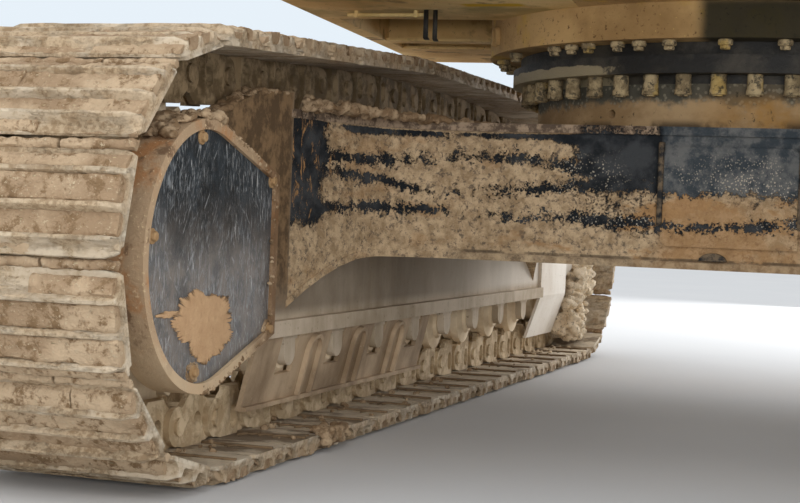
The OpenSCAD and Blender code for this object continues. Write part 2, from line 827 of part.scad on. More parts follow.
carbody();
ring_pedestal();
inner_race_gear();
swivel_joint();
side_frame("left");  // side_frame_left
side_frame("right");  // side_frame_right
track("left");  // track_left
track("right");  // track_right
chain("left");  // chain_left
chain("right");  // chain_right
sprocket("left");  // sprocket_left
sprocket("right");  // sprocket_right
final_drive("left");  // final_drive_left
final_drive("right");  // final_drive_right
travel_motor("left");  // travel_motor_left
travel_motor("right");  // travel_motor_right
motor_guard("left");  // motor_guard_left
motor_guard("right");  // motor_guard_right
guard_cover("left");  // guard_cover_left
guard_cover("right");  // guard_cover_right
idler("left");  // idler_left
idler("right");  // idler_right
idler_yoke("left");  // idler_yoke_left
idler_yoke("right");  // idler_yoke_right
track_rollers("left");  // track_rollers_left
track_rollers("right");  // track_rollers_right
roller_collars("left");  // roller_collars_left
roller_collars("right");  // roller_collars_right
carrier_rollers("left");  // carrier_rollers_left
carrier_rollers("right");  // carrier_rollers_right
chain_guard("left");  // chain_guard_left
chain_guard("right");  // chain_guard_right
front_guide("left");  // front_guide_left
front_guide("right");  // front_guide_right
outer_race();
race_bolts();
turntable_drum();
centre_frame();
deck("left");  // deck_left
deck("right");  // deck_right
swing_drive();
swing_pinion();
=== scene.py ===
import bpy
import math
import random
from mathutils import Matrix, Vector


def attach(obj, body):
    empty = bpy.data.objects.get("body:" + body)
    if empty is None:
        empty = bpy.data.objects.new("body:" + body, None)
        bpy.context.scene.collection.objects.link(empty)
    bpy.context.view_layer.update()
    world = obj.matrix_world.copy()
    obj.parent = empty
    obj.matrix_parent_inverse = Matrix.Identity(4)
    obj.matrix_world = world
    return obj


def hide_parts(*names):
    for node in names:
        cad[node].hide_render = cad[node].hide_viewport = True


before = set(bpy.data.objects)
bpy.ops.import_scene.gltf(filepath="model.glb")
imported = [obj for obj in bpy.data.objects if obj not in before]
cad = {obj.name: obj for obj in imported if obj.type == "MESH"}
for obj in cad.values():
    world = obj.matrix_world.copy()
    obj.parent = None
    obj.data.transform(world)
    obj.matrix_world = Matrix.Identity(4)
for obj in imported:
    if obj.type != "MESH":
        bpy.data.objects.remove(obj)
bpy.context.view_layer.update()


# Camera and studio. A low camera behind the drive end, inboard of the left crawler. The
# studio is a pale floor, an even sky and large soft lamps on all sides.

yaw, nod, lean = 0.3194, -0.0224, 0.0383
ahead = Vector((-math.sin(yaw) * math.cos(nod), math.cos(yaw) * math.cos(nod), math.sin(nod)))
level = Vector((math.cos(yaw), math.sin(yaw), 0))
above = level.cross(ahead)
across = level * math.cos(lean) + above * math.sin(lean)
upward = above * math.cos(lean) - level * math.sin(lean)
camera = bpy.data.objects.new("camera", bpy.data.cameras.new("camera"))
bpy.context.scene.collection.objects.link(camera)
sensor, focal_pixels, photo_pixels = 36, 1657, 800
camera.data.sensor_width = sensor
camera.data.lens = sensor * focal_pixels / photo_pixels
turned = Matrix((across, upward, -ahead)).transposed().to_4x4()
stand = (0.5993, -5.7402, 0.6671)
camera.matrix_world = Matrix.Translation(stand) @ turned
bpy.context.scene.camera = camera

for name, place, aim, size, power in (
        ("sky_panel", (-5.0, -7.0, 6.5), (-0.6, -1.0, 0.6), 6.0, 200),
        ("side_panel", (7.0, -3.0, 2.5), (0, 0, 0.6), 5.0, 260),
        ("low_panel", (2.4, -9.5, 0.9), (-0.2, 0, 0.7), 4.0, 330),
        ("front_panel", (1.4, 8.0, 1.2), (-1.1, 1.2, 0.3), 4.0, 420)):
    lamp = bpy.data.objects.new(name, bpy.data.lights.new(name, "AREA"))
    bpy.context.scene.collection.objects.link(lamp)
    lamp.data.size = size
    lamp.data.energy = power
    lamp.location = place
    lamp.rotation_euler = (Vector(aim) - Vector(place)).to_track_quat("-Z", "Y").to_euler()

world = bpy.data.worlds.new("studio")
bpy.context.scene.world = world
world.use_nodes = True
sky = world.node_tree
shown = sky.nodes.new("ShaderNodeBackground")
shown.inputs["Color"].default_value = (0.80, 0.88, 0.95, 1)
shown.inputs["Strength"].default_value = 1.0
lit = sky.nodes["Background"]
lit.inputs["Color"].default_value = (0.93, 0.96, 1.0, 1)
lit.inputs["Strength"].default_value = 1.2
path = sky.nodes.new("ShaderNodeLightPath")
either = sky.nodes.new("ShaderNodeMath")
either.operation = "MAXIMUM"
sky.links.new(path.outputs["Is Camera Ray"], either.inputs[0])
sky.links.new(path.outputs["Is Glossy Ray"], either.inputs[1])
blend = sky.nodes.new("ShaderNodeMixShader")
sky.links.new(either.outputs[0], blend.inputs[0])
sky.links.new(lit.outputs[0], blend.inputs[1])
sky.links.new(shown.outputs[0], blend.inputs[2])
sky.links.new(blend.outputs[0], sky.nodes["World Output"].inputs["Surface"])
bpy.context.scene.view_settings.view_transform = "Standard"


def tone(r, g, b):
    """A paint-card colour, 0 to 255 in each channel, as Blender counts it."""
    return [v / 255 / 12.92 if v < 11 else ((v / 255 + 0.055) / 1.055) ** 2.4 for v in (r, g, b)] + [1]


class Finish:
    """A surface finish. The functions after it add their nodes to the newest finish."""

    def __init__(self, name, roughness=0.9, specular=0.25):
        self.material = bpy.data.materials.new(name)
        self.material.use_nodes = True
        self.tree = self.material.node_tree
        self.shader = self.tree.nodes["Principled BSDF"]
        self.shader.inputs["Roughness"].default_value = roughness
        self.shader.inputs["Specular IOR Level"].default_value = specular
        self.where = self.tree.nodes.new("ShaderNodeTexCoord").outputs["Object"]
        self.bumps = None
        Finish.newest = self

    def coat(self, *pieces):
        for piece in pieces:
            piece.data.materials.clear()
            piece.data.materials.append(self.material)


def feed(socket, value):
    if isinstance(value, bpy.types.NodeSocket):
        Finish.newest.tree.links.new(value, socket)
    else:
        socket.default_value = value


def add(kind, inputs, out=0, **settings):
    node = Finish.newest.tree.nodes.new("ShaderNode" + kind)
    for key, value in settings.items():
        setattr(node, key, value)
    for key, value in inputs.items():
        feed(node.inputs[key], value)
    return node.outputs[out]


def stretched(scale, shift=(0, 0, 0), turn=0.0):
    """Places for a pattern: the piece's own, turned about X, then scaled and shifted."""
    where = Finish.newest.where
    if turn:
        where = add("Mapping", {"Vector": where, "Rotation": (turn, 0, 0)})
    return add("Mapping", {"Vector": where, "Scale": scale, "Location": shift})


def noise(scale, detail=5, rough=0.6, stretch=(1, 1, 1), shift=(0, 0, 0), warp=0.0, turn=0.0):
    place = stretched(stretch, shift, turn)
    return add("TexNoise", {"Vector": place, "Scale": scale, "Detail": detail,
                            "Roughness": rough, "Distortion": warp})


def mix(amount, first, second):
    """From the first colour to the second; a plain one is given from 0 to 255."""
    node = Finish.newest.tree.nodes.new("ShaderNodeMix")
    node.data_type = "RGBA"
    for number, value in ((0, amount), (6, first), (7, second)):
        feed(node.inputs[number], tone(*value) if isinstance(value, tuple) else value)
    return node.outputs[2]


def relief(height, depth):
    """Lays a relief of that depth in metres over those before it."""
    finish = Finish.newest
    node = finish.tree.nodes.new("ShaderNodeBump")
    node.inputs["Distance"].default_value = depth
    feed(node.inputs["Height"], height)
    if finish.bumps:
        finish.tree.links.new(finish.bumps, node.inputs["Normal"])
    finish.bumps = node.outputs[0]
    finish.tree.links.new(finish.bumps, finish.shader.inputs["Normal"])


def paint(colour):
    feed(Finish.newest.shader.inputs["Base Color"], colour)


def clear_selection():
    for thing in list(bpy.context.selected_objects):
        thing.select_set(False)


def only(piece):
    clear_selection()
    piece.select_set(True)
    bpy.context.view_layer.objects.active = piece


bpy.ops.mesh.primitive_plane_add(size=60)
floor = bpy.context.object
floor.name = "floor"
screed = Finish("floor_screed")
paint(mix(noise(0.8), (196, 196, 196), (206, 205, 203)))
relief(noise(60), 0.0006)
screed.coat(floor)


# Carbody. The welded box between the crawlers, in black paint. Splashed mud has dried on it
# in pale crusts, thickest low down, with dark wavy bands where it was wiped. A painted shadow
# leaves a band under the top plate black, and a thin painted shade line runs above the bottom flange.

def axis(letter):
    return add("SeparateXYZ", {"Vector": Finish.newest.where}, letter)


def span(value, low, high, to_low=0.0, to_high=1.0):
    return add("MapRange", {"Value": value, "From Min": low, "From Max": high,
                            "To Min": to_low, "To Max": to_high}, interpolation_type="SMOOTHSTEP")


def reckoned(operation, values):
    total = values[0]
    for value in values[1:]:
        total = add("Math", {0: total, 1: value}, operation=operation)
    return total


def added(*values):
    return reckoned("ADD", values)


def times(*values):
    return reckoned("MULTIPLY", values)


def size_of(value):
    return add("Math", {0: value}, operation="ABSOLUTE")


def apart(a, b):
    return size_of(reckoned("SUBTRACT", (a, b)))


def specks(scale, size, stretch=(1, 1, 1)):
    """1 inside scattered dots, 0 elsewhere."""
    near = add("TexVoronoi", {"Vector": stretched(stretch), "Scale": scale}, "Distance")
    return span(near, size, size * 0.6)


def spattered_paint():
    finish = Finish("spattered_paint", roughness=0.8)
    x, z = axis("X"), axis("Z")
    side = size_of(x)
    broad = noise(3.0, detail=8, rough=0.66, stretch=(0.7, 0.7, 1.5))
    crumbs = noise(30, rough=0.75)
    grains = noise(130, detail=3, rough=0.7)
    high = span(z, 0.72, 0.86)
    level = added(times(broad, 0.80), times(crumbs, 0.55), times(grains, 0.40),
                  span(z, 0.58, 0.66, 0.30, 0.0),
                  span(side, 0.34, 0.52, 0.04, 0.16),
                  times(span(side, 0.56, 0.40), high, -0.30),
                  span(side, 1.090, 1.120, 0.0, -0.34),
                  times(span(side, 0.21, 0.18), high, -0.24),
                  span(z, 0.922, 0.927, 0.0, 0.24), -0.10,
                  # Painted shadow: just under the top plate the mud level drops, so a band stays black
                  times(span(z, 0.890, 0.916), span(z, 0.924, 0.918), span(side, 1.10, 1.06),
                        span(noise(3.2, shift=(0, 0, 4)), 0.36, 0.54, 0.2, 1.0), -0.30))
    for height, shift, width in ((0.838, 0.0, 0.006), (0.762, 7.3, 0.002), (0.672, 3.1, 0.0)):
        drift = noise(1.7, detail=2, rough=0.5, stretch=(1, 1, 0), shift=(shift, 0, 0))
        line = added(height - 0.075, times(drift, 0.15))
        ragged = added(apart(z, line), times(crumbs, 0.075), times(grains, 0.06), -0.066)
        broken = span(noise(4.5, detail=3, shift=(shift, 2, 0)), 0.38, 0.52, 0.55, 1.0)
        level = added(level, times(broken, span(ragged, width, width + 0.024, -0.32, 0.0)))
    black = mix(span(noise(9, detail=6), 0.42, 0.62), (26, 30, 34), (66, 68, 70))
    hatch = times(span(side, 0.205, 0.190), span(z, 0.70, 0.78))
    worn = mix(span(noise(14, detail=6, rough=0.7), 0.4, 0.6), (62, 70, 76), (118, 118, 116))
    black = mix(times(hatch, 0.85), black, worn)
    spread = times(span(noise(5, shift=(5, 0, 0)), 0.40, 0.56), span(z, 0.90, 0.80),
                   span(side, 0.80, 0.50), span(noise(15, shift=(4, 0, 2)), 0.42, 0.54))
    dots = added(specks(95, 0.30), specks(150, 0.30, stretch=(1, 1, 0.8)))
    black = mix(times(dots, spread), black, (186, 176, 158))
    pale = mix(span(noise(24, detail=7, rough=0.75), 0.38, 0.62), (158, 133, 101), (202, 176, 141))
    gritty = times(span(noise(52, detail=6, rough=0.8, shift=(1, 0, 0)), 0.51, 0.61), 0.8)
    pale = mix(gritty, pale, (86, 75, 66))
    rusty = mix(noise(30, rough=0.7), (140, 100, 62), (196, 152, 100))
    low_hatch = times(span(side, 0.24, 0.17), span(z, 0.76, 0.70))
    smear = times(span(noise(5.0, detail=6, shift=(2.2, 0, 0), stretch=(1, 1, 2.4)), 0.53, 0.62),
                  span(side, 0.70, 0.45, 0.30, 0.8))
    low_hatch = times(low_hatch, span(noise(7), 0.40, 0.56, 0.2, 0.65))
    level = added(level, times(low_hatch, 0.16))
    rust_in = add("Math", {0: low_hatch, 1: smear}, operation="MAXIMUM")
    mud = mix(rust_in, pale, rusty)
    flange = mix(span(noise(34, rough=0.7), 0.42, 0.60), (96, 80, 66), (168, 146, 122))
    mud = mix(span(z, 0.922, 0.927), mud, flange)
    flecks = span(noise(36, detail=6, rough=0.8, stretch=(1, 1, 0.35), warp=0.8), 0.54, 0.62)
    flecks = times(span(side, 1.08, 1.10), flecks)
    black = mix(flecks, black, rusty)
    # Painted shade: a thin dark line just above the bottom flange, in its corner, where shade falls
    corner = times(span(apart(z, 0.566), 0.006, 0.002), span(side, 0.86, 0.80),
                   span(noise(12, shift=(8, 0, 0)), 0.36, 0.50))
    mud = mix(times(span(z, 0.566, 0.562), span(side, 0.86, 0.80), 0.6), mud,
              mix(span(noise(20, detail=6, rough=0.7), 0.4, 0.6), (118, 100, 78), (188, 166, 134)))
    mud = mix(times(corner, 0.75), mud, (82, 70, 56))
    muddy = span(level, 0.70, 0.80)
    paint(mix(muddy, black, mud))
    relief(muddy, 0.0035)
    relief(noise(60, detail=7, rough=0.75), 0.007)
    return finish


spattered_paint().coat(cad["carbody"])


def edit(piece):
    """Opens the piece in edit mode with all of it selected."""
    only(piece)
    bpy.ops.object.mode_set(mode="EDIT")
    bpy.ops.mesh.select_all(action="SELECT")


def cut_out(name, outlines, low, high, bevel=0.0):
    """A plate cut to outlines in Y and Z, as thick as from low to high along X."""
    curve = bpy.data.curves.new(name, "CURVE")
    curve.dimensions = "2D"
    curve.fill_mode = "BOTH"
    curve.extrude = (high - low) / 2 - bevel
    curve.bevel_depth = bevel
    curve.bevel_resolution = 0
    curve.offset = -bevel
    for outline in outlines:
        spline = curve.splines.new("POLY")
        spline.points.add(len(outline) - 1)
        for point, (y, z) in zip(spline.points, outline):
            point.co = (y, z, 0, 1)
        spline.use_cyclic_u = True
    piece = bpy.data.objects.new(name, curve)
    bpy.context.scene.collection.objects.link(piece)
    only(piece)
    bpy.ops.object.convert(target="MESH")
    piece.data.transform(Matrix(((0, 0, 1, (low + high) / 2), (1, 0, 0, 0), (0, 1, 0, 0), (0, 0, 0, 1))))
    edit(piece)
    bpy.ops.mesh.remove_doubles(threshold=0.00002)
    bpy.ops.mesh.normals_make_consistent(inside=False)
    bpy.ops.object.mode_set(mode="OBJECT")
    return piece


def joined(name, pieces):
    clear_selection()
    for piece in pieces:
        piece.select_set(True)
    bpy.context.view_layer.objects.active = pieces[0]
    if len(pieces) > 1:
        bpy.ops.object.join()
    whole = bpy.context.view_layer.objects.active
    whole.name = name
    return whole


steel = Finish("weld_steel", roughness=0.8)
paint(mix(span(noise(30, rough=0.7), 0.4, 0.6), (34, 36, 38), (112, 96, 76)))
relief(noise(60, detail=4), 0.003)
strip = [(-0.962, 0.668), (-0.962, 0.900), (-0.958, 0.905), (-0.938, 0.905), (-0.938, 0.664), (-0.958, 0.664)]
welds = joined("hatch_welds", [cut_out("weld", [strip], x - 0.008, x + 0.008, bevel=0.003)
                               for x in (-0.199, 0.199)])
tab_edge = [(0.040 * math.cos(math.radians(a)), 0.024 * math.sin(math.radians(a)))
            for a in range(165, 0, -15)]
tab = cut_out("drain_tab", [[(-0.040, 0.0)] + tab_edge + [(0.040, 0.0)]], 0.0, 0.014, bevel=0.002)
tab.data.transform(Matrix(((0, 1, 0, -0.040), (-1, 0, 0, -0.952), (0, 0, 1, 0.566), (0, 0, 0, 1))))
for piece in (welds, tab):
    steel.coat(piece)
    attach(piece, "undercarriage")


# Side frames and what is bolted to them. Box beams of welded plate, with the chain guards,
# roller collars and bent front guides bolted below. All of it wears pale dried dust, darker
# where water ran. The side frames' wall is painted whiter towards the front and darker towards
# the rear, as painted light and shade, and their inboard faces are painted lighter than the
# outboard ones, as painted light.

sides = (("left", -1), ("right", 1))


def both(*names):
    """The left and right solids of those names."""
    return [cad[name + "_" + side] for name in names for side, _ in sides]


def painted():
    """The colour that the newest finish has so far."""
    return Finish.newest.shader.inputs["Base Color"].links[0].from_socket


def dusty(name, dust, shade, bare, streaks, scale=1.0):
    """Dried dust over painted steel, with darker streaks that run down and bare specks."""
    finish = Finish(name, roughness=0.92)
    broad = noise(2.4 * scale, detail=7)
    drips = noise(9 * scale, stretch=(1, 1, 0.16), warp=0.5)
    fine = noise(60 * scale, rough=0.7)
    cover = added(times(broad, 1 - streaks), times(drips, streaks))
    colour = mix(span(cover, 0.36, 0.62), shade, dust)
    paint(mix(span(fine, 0.60, 0.72), colour, bare))
    relief(span(broad, 0.4, 0.6), 0.002)
    relief(fine, 0.0022)
    return finish


frame_dust = dusty("frame_dust", (206, 190, 168), (166, 148, 122), (130, 114, 92), streaks=0.35)
# Painted light: the wall above Z 0.38 is painted whiter towards the front
painted_front_light = times(span(axis("Y"), -0.6, 1.2), span(axis("Z"), 0.36, 0.40), 0.7)
dust = mix(painted_front_light, painted(), (226, 218, 206))
brown = mix(span(noise(18, detail=6, rough=0.7), 0.4, 0.6), (92, 72, 50), (142, 114, 82))
# Painted light: the inboard faces keep the lighter dust tone, and the outboard faces, past |X| 1.20, are
# painted a plainer brown
outer = span(size_of(axis("X")), 1.20, 1.26)
outer = times(outer, span(noise(7, detail=7, rough=0.7), 0.36, 0.60, 0.86, 1.0))
# Painted shade: the wall above Z 0.38 is painted darker towards the rear, behind the motor guard
shade = times(span(axis("Y"), 1.3, -0.7), span(axis("Z"), 0.36, 0.40),
              span(noise(2.0, detail=6, stretch=(1, 1, 0.5)), 0.30, 0.60, 0.4, 0.8))
dust = mix(shade, dust, (112, 99, 82))
dust = mix(outer, dust, (142, 122, 96))
rear = times(span(axis("Y"), -1.42, -1.46), span(axis("Z"), 0.34, 0.50))
paint(mix(times(rear, 0.92), dust, brown))
feed(frame_dust.shader.inputs["Roughness"], span(outer, 0.0, 1.0, 0.92, 0.8))
frame_dust.coat(*both("side_frame", "roller_collars"))
guard_dust = dusty("guard_dust", (196, 172, 142), (142, 120, 94), (172, 154, 130), streaks=0.3, scale=1.4)
guard_dust.coat(*both("chain_guard"))
guide_dust = dusty("guide_dust", (238, 230, 218), (222, 210, 194), (184, 170, 150), streaks=0.2)
guide_dust.coat(*both("front_guide"))


# Wheels inside the track. Idlers, sprockets, rollers and their housings, in cast steel. The
# treads are rubbed by the chain, and the rest is caked with the same dried mud. Their inboard
# faces are painted lighter than the outboard ones, as painted light.

wheel_dust = dusty("wheel_dust", (246, 226, 194), (206, 182, 148), (224, 208, 182), streaks=0.1, scale=2.0)
# Painted light: the inboard faces keep the lighter tone, and the outboard faces, past |X| 1.30, are painted
# darker brown
wheel_side = span(size_of(axis("X")), 1.30, 1.36, 0.0, 0.65)
paint(mix(wheel_side, painted(), (116, 94, 68)))
wheel_dust.coat(*both("idler", "idler_yoke", "sprocket", "final_drive", "travel_motor", "track_rollers",
                      "carrier_rollers"))


# Track chains. Each track's chain has two rails of forged links on pins. A link's two
# halves are set side by side, so each laps the next one at the pin, and a window through
# each link gives room for the nuts of the shoe bolts.

pitch = 0.2286
run_shoes = 19
wrap_shoes = 6
links = 2 * (run_shoes + wrap_shoes)
pin_r = pitch / (2 * math.sin(math.radians(15)))
run = run_shoes * pitch
link_out = 0.056
link_in = 0.078
shoe_t = 0.018
grouser_h = 0.0344
axle_z = pin_r + link_out + shoe_t + grouser_h
low_z = axle_z - pin_r
top_z = axle_z + pin_r
top_rise = 0.080
carrier_y = 2.5 * pitch
track_x = 1.320


def pin(k):
    """Y and Z of a chain pin: bottom run, idler, top run, sprocket, as in the solids."""
    k %= links
    if k <= run_shoes:
        return Vector((-run / 2 + k * pitch, low_z))
    if k <= run_shoes + wrap_shoes:
        turn = math.radians((k - run_shoes) * 180 / wrap_shoes - 90)
        return Vector((run / 2 + pin_r * math.cos(turn), axle_z + pin_r * math.sin(turn)))
    if k <= 2 * run_shoes + wrap_shoes:
        y = run / 2 - (k - run_shoes - wrap_shoes) * pitch
        return Vector((y, top_z + top_rise * min(1, (run / 2 - abs(y)) / (run / 2 - carrier_y))))
    turn = math.radians(90 + (k - 2 * run_shoes - wrap_shoes) * 180 / wrap_shoes)
    return Vector((-run / 2 + pin_r * math.cos(turn), axle_z + pin_r * math.sin(turn)))


def on_link(k, x):
    """Where link k lies: its own X across the track, Y back along it, Z outwards."""
    a, b = pin(k), pin(k + 1)
    along = (b - a).normalized()
    middle = (a + b) / 2
    return Matrix(((1, 0, 0, x), (0, -along.x, along.y, middle.x),
                   (0, -along.y, -along.x, middle.y), (0, 0, 0, 1)))


def copies(name, pattern, places):
    """Copies of one piece, each with its own mesh, joined where the places say."""
    made = []
    for place in places:
        one = bpy.data.objects.new(name, pattern.data.copy())
        bpy.context.scene.collection.objects.link(one)
        one.data.transform(place)
        if place.determinant() < 0:
            one.data.flip_normals()
        made.append(one)
    return joined(name, made)


def drop(*patterns):
    for pattern in patterns:
        bpy.data.objects.remove(pattern)


def ring(y, z, r, first, last, steps):
    """Points on an arc in Y and Z, from one angle to another in degrees."""
    return [(y + r * math.cos(math.radians(first + (last - first) * k / steps)),
             z + r * math.sin(math.radians(first + (last - first) * k / steps))) for k in range(steps + 1)]


def rod(corners, r, long, place=(0, 0, 0), turned=(0, 0, 0)):
    """A cylinder whose place and turn are put into its mesh."""
    bpy.ops.mesh.primitive_cylinder_add(vertices=corners, radius=r, depth=long,
                                        location=place, rotation=turned)
    piece = bpy.context.object
    only(piece)
    bpy.ops.object.transform_apply(location=True, rotation=True, scale=True)
    return piece


def smooth(piece, angle):
    only(piece)
    bpy.ops.object.shade_smooth_by_angle(angle=math.radians(angle))


half = pitch / 2
window = ring(0, 0.016, 0.024, 20, 160, 5) + ring(0, -0.008, 0.022, 200, 340, 5)
half_link = [(-0.030, -link_in), (0.055, -link_in), (0.072, -0.062)] \
    + ring(half, 0, 0.052, -115, 100, 9) + [(half - 0.030, link_out), (-0.030, link_out)]
rails = []
for side in (-1, 1):
    outer = sorted((side * 0.090, side * 0.074))
    inner = sorted((side * 0.074, side * 0.058))
    rails.append(cut_out("link", [half_link, window], *outer))
    rails.append(cut_out("link", [[(-y, z) for y, z in half_link], [(-y, z) for y, z in window]], *inner))
lying = (0, math.pi / 2, 0)
rails.append(rod(14, 0.024, 0.196, (0, half, 0), lying))
rails.append(rod(16, 0.033, 0.120, (0, half, 0), lying))
link = joined("link", rails)

chain_mud = Finish("chain_mud")
caked = span(noise(13, detail=6, rough=0.65), 0.42, 0.60)
low = span(axis("Z"), 0.85, 0.30)
base = mix(low, (112, 94, 68), (176, 152, 118))
crust = mix(low, (164, 142, 110), (212, 190, 156))
paint(mix(caked, base, crust))
relief(caked, 0.004)
relief(noise(90, detail=4, rough=0.7), 0.003)
for side, s in sides:
    chain = copies("track_chain_" + side, link, [on_link(k, s * track_x) for k in range(links)])
    smooth(chain, 30)
    chain_mud.coat(chain)
    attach(chain, "undercarriage")
    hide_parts("chain_" + side)
drop(link)


# Track shoes. Rolled steel shoes with three grousers, bolted across the links. The last
# grouser's lip laps over the next shoe, and the ends of the grousers are cut back. Dust has
# bleached them, and the crests and ends are rubbed bare. The sharpest crests are painted lighter,
# partly as wear and partly as a painted highlight, and the upward faces of the lower run are
# painted lighter, as painted light.

shoe_half = 0.300
plate = link_out + shoe_t
tip = plate + grouser_h
shoe_form = [(-0.1080, link_out), (-0.1080, 0.0650), (-0.0840, 0.0665), (-0.0730, plate), (-0.0640, 0.082),
             (-0.0573, tip - 0.004), (-0.0545, tip), (-0.0470, tip), (-0.0440, tip - 0.004), (-0.0380, 0.082),
             (-0.0290, plate), (0.0060, plate), (0.0130, 0.082), (0.0175, tip - 0.004), (0.0205, tip),
             (0.0285, tip), (0.0320, tip - 0.004), (0.0375, 0.082), (0.0470, plate), (0.0790, plate),
             (0.0860, 0.082), (0.0905, tip - 0.004), (0.0935, tip), (0.1010, tip), (0.1045, tip - 0.006),
             (0.1110, 0.082), (0.1300, 0.0745), (0.1310, 0.0675), (0.1140, 0.0655), (0.1120, link_out)]
shoe = cut_out("shoe", [[(-u, v) for u, v in shoe_form]], -shoe_half, shoe_half)
edit(shoe)
cuts = [0.290, 0.268, 0.245] + [0.215 - 0.030 * k for k in range(15)] + [-0.245, -0.268, -0.290]
for x in cuts:
    bpy.ops.mesh.select_all(action="SELECT")
    bpy.ops.mesh.bisect(plane_co=(x, 0, 0), plane_no=(1, 0, 0))
bpy.ops.object.mode_set(mode="OBJECT")
for corner in shoe.data.vertices:
    past = abs(corner.co.x) - 0.280
    if past > 0:
        if corner.co.z > plate + 0.001:
            corner.co.z = plate + (corner.co.z - plate) * max(0.7, 1 - past / 0.045)
        if abs(corner.co.y) > 0.095:
            corner.co.y -= math.copysign(past * 0.6, corner.co.y)


def facing_up():
    """1 where the surface faces up, 0 where it stands upright."""
    return add("SeparateXYZ", {"Vector": add("NewGeometry", {}, "Normal")}, "Z")


shoe_dust = Finish("shoe_dust", roughness=0.88, specular=0.3)
patch = noise(7, detail=7, rough=0.65)
fleck = noise(70, rough=0.7)
colour = mix(span(patch, 0.40, 0.56), (208, 190, 164), (186, 164, 134))
colour = mix(span(added(times(patch, 0.5), times(fleck, 0.5)), 0.50, 0.58), colour, (156, 132, 102))
# Partly wear and partly a painted highlight: the sharpest crests are painted lighter
crest_wear_and_highlight = span(add("NewGeometry", {}, "Pointiness"), 0.54, 0.62)
worn = times(crest_wear_and_highlight, span(noise(11, detail=6, rough=0.7, shift=(3, 0, 0)), 0.42, 0.60), 0.7)
colour = mix(worn, colour, (232, 221, 200))
smear = span(noise(5, detail=8, rough=0.7, stretch=(0.5, 1, 1.6), shift=(0, 9, 0)), 0.46, 0.54)
colour = mix(times(smear, 0.6), colour, mix(span(fleck, 0.42, 0.60), (196, 172, 140), (158, 133, 102)))
# Painted light: faces of the lower run that point up are painted lighter. The same mask also places the damp
# mud patches below.
inner = times(facing_up(), span(axis("Z"), 0.30, 0.10))
colour = mix(span(inner, 0.5, 0.9, 0.0, 0.7), colour, (222, 206, 180))
damp = span(noise(5, detail=7, rough=0.65, stretch=(0.6, 1, 1)), 0.50, 0.58)
colour = mix(times(span(inner, 0.5, 0.9), damp, 0.75), colour, (112, 90, 66))
paint(colour)
relief(smear, 0.006)
relief(noise(34, detail=7, rough=0.8), 0.010)
relief(fleck, 0.004)


def crumple(piece, size, depth, seed):
    """Breaks up a surface by noise of that size and depth, applied to the mesh."""
    grain = bpy.data.textures.new("grain", "CLOUDS")
    grain.noise_scale = size
    grain.noise_depth = 2
    moved = Matrix.Translation((seed, 0, 0))
    piece.data.transform(moved)
    only(piece)
    push = piece.modifiers.new("crumple", "DISPLACE")
    push.texture = grain
    push.strength = depth
    push.mid_level = 0.5
    bpy.ops.object.modifier_apply(modifier="crumple")
    piece.data.transform(moved.inverted())


for side, s in sides:
    shoes = copies("track_shoes_" + side, shoe, [on_link(k, s * track_x) for k in range(links)])
    crumple(shoes, 0.05, 0.0050, 3.0)
    smooth(shoes, 40)
    shoe_dust.coat(shoes)
    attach(shoes, "undercarriage")
    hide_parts("track_" + side)
drop(shoe)


# Mud packed between the grousers. Clay pressed flat into the hollows of each shoe, dried
# and broken out in places, with a thinner crust on the leading edge of the shoe.

chance = random.Random(11)
cell_forms = (
    [(-0.0360, 0.074), (-0.0440, 0.098), (-0.038, 0.104), (-0.028, 0.103), (-0.016, 0.104), (-0.004, 0.102),
     (0.006, 0.104), (0.014, 0.103), (0.0180, 0.098), (0.0110, 0.074)],
    [(0.0400, 0.074), (0.0310, 0.098), (0.038, 0.104), (0.048, 0.102), (0.060, 0.104), (0.071, 0.102),
     (0.082, 0.104), (0.0890, 0.101), (0.0900, 0.096), (0.0840, 0.074)],
    [(-0.0940, 0.064), (-0.0950, 0.080), (-0.090, 0.088), (-0.082, 0.093), (-0.074, 0.097), (-0.066, 0.101),
     (-0.0590, 0.100), (-0.0600, 0.074)],
    [(0.1060, 0.080), (0.1050, 0.092), (0.110, 0.0915), (0.116, 0.089), (0.122, 0.085), (0.1275, 0.0805),
     (0.1290, 0.0745), (0.118, 0.074)])
gap_form = [(-0.1070, 0.057), (-0.1075, 0.066), (-0.112, 0.071), (-0.119, 0.072), (-0.126, 0.070),
            (-0.1300, 0.064), (-0.1290, 0.056), (-0.120, 0.052)]


def mud_run(form, low, high, lower):
    """One cake of mud along a hollow, cut across often enough to crumble."""
    cake = cut_out("cake", [[(-u, v - (lower if v > 0.075 else 0)) for u, v in form]], low, high)
    edit(cake)
    steps = max(2, int((high - low) / 0.011))
    for k in range(1, steps):
        bpy.ops.mesh.select_all(action="SELECT")
        bpy.ops.mesh.bisect(plane_co=(low + (high - low) * k / steps, 0, 0), plane_no=(1, 0, 0))
    bpy.ops.object.mode_set(mode="OBJECT")
    return cake


variants = 5
patterns = []
for _ in range(variants):
    cakes = []
    for number, form in enumerate(cell_forms):
        here = -shoe_half + chance.uniform(0.002, 0.012)
        while here < shoe_half - 0.05:
            end = shoe_half - chance.choice((0.003, 0.006, 0.009, 0.030))
            there = here + chance.uniform(0.16, 0.60)
            there = end if there > end - 0.08 else there
            if chance.random() < (0.98, 0.98, 0.9, 0.65)[number]:
                cakes.append(mud_run(form, here, there, chance.choice((0, 0.003, 0.006, 0.014))))
            here = there + chance.choice((-0.004, 0.0, 0.010, 0.035))
    patterns.append(joined("cakes", cakes))
wedge = joined("wedge", [mud_run(gap_form, -0.296, -0.085, 0.0), mud_run(gap_form, -0.100, 0.110, 0.003),
                         mud_run(gap_form, 0.118, 0.294, 0.0)])
bends = [k for k in range(links) if (pin(k + 1) - pin(k)).angle(pin(k) - pin(k - 1)) > 0.3]

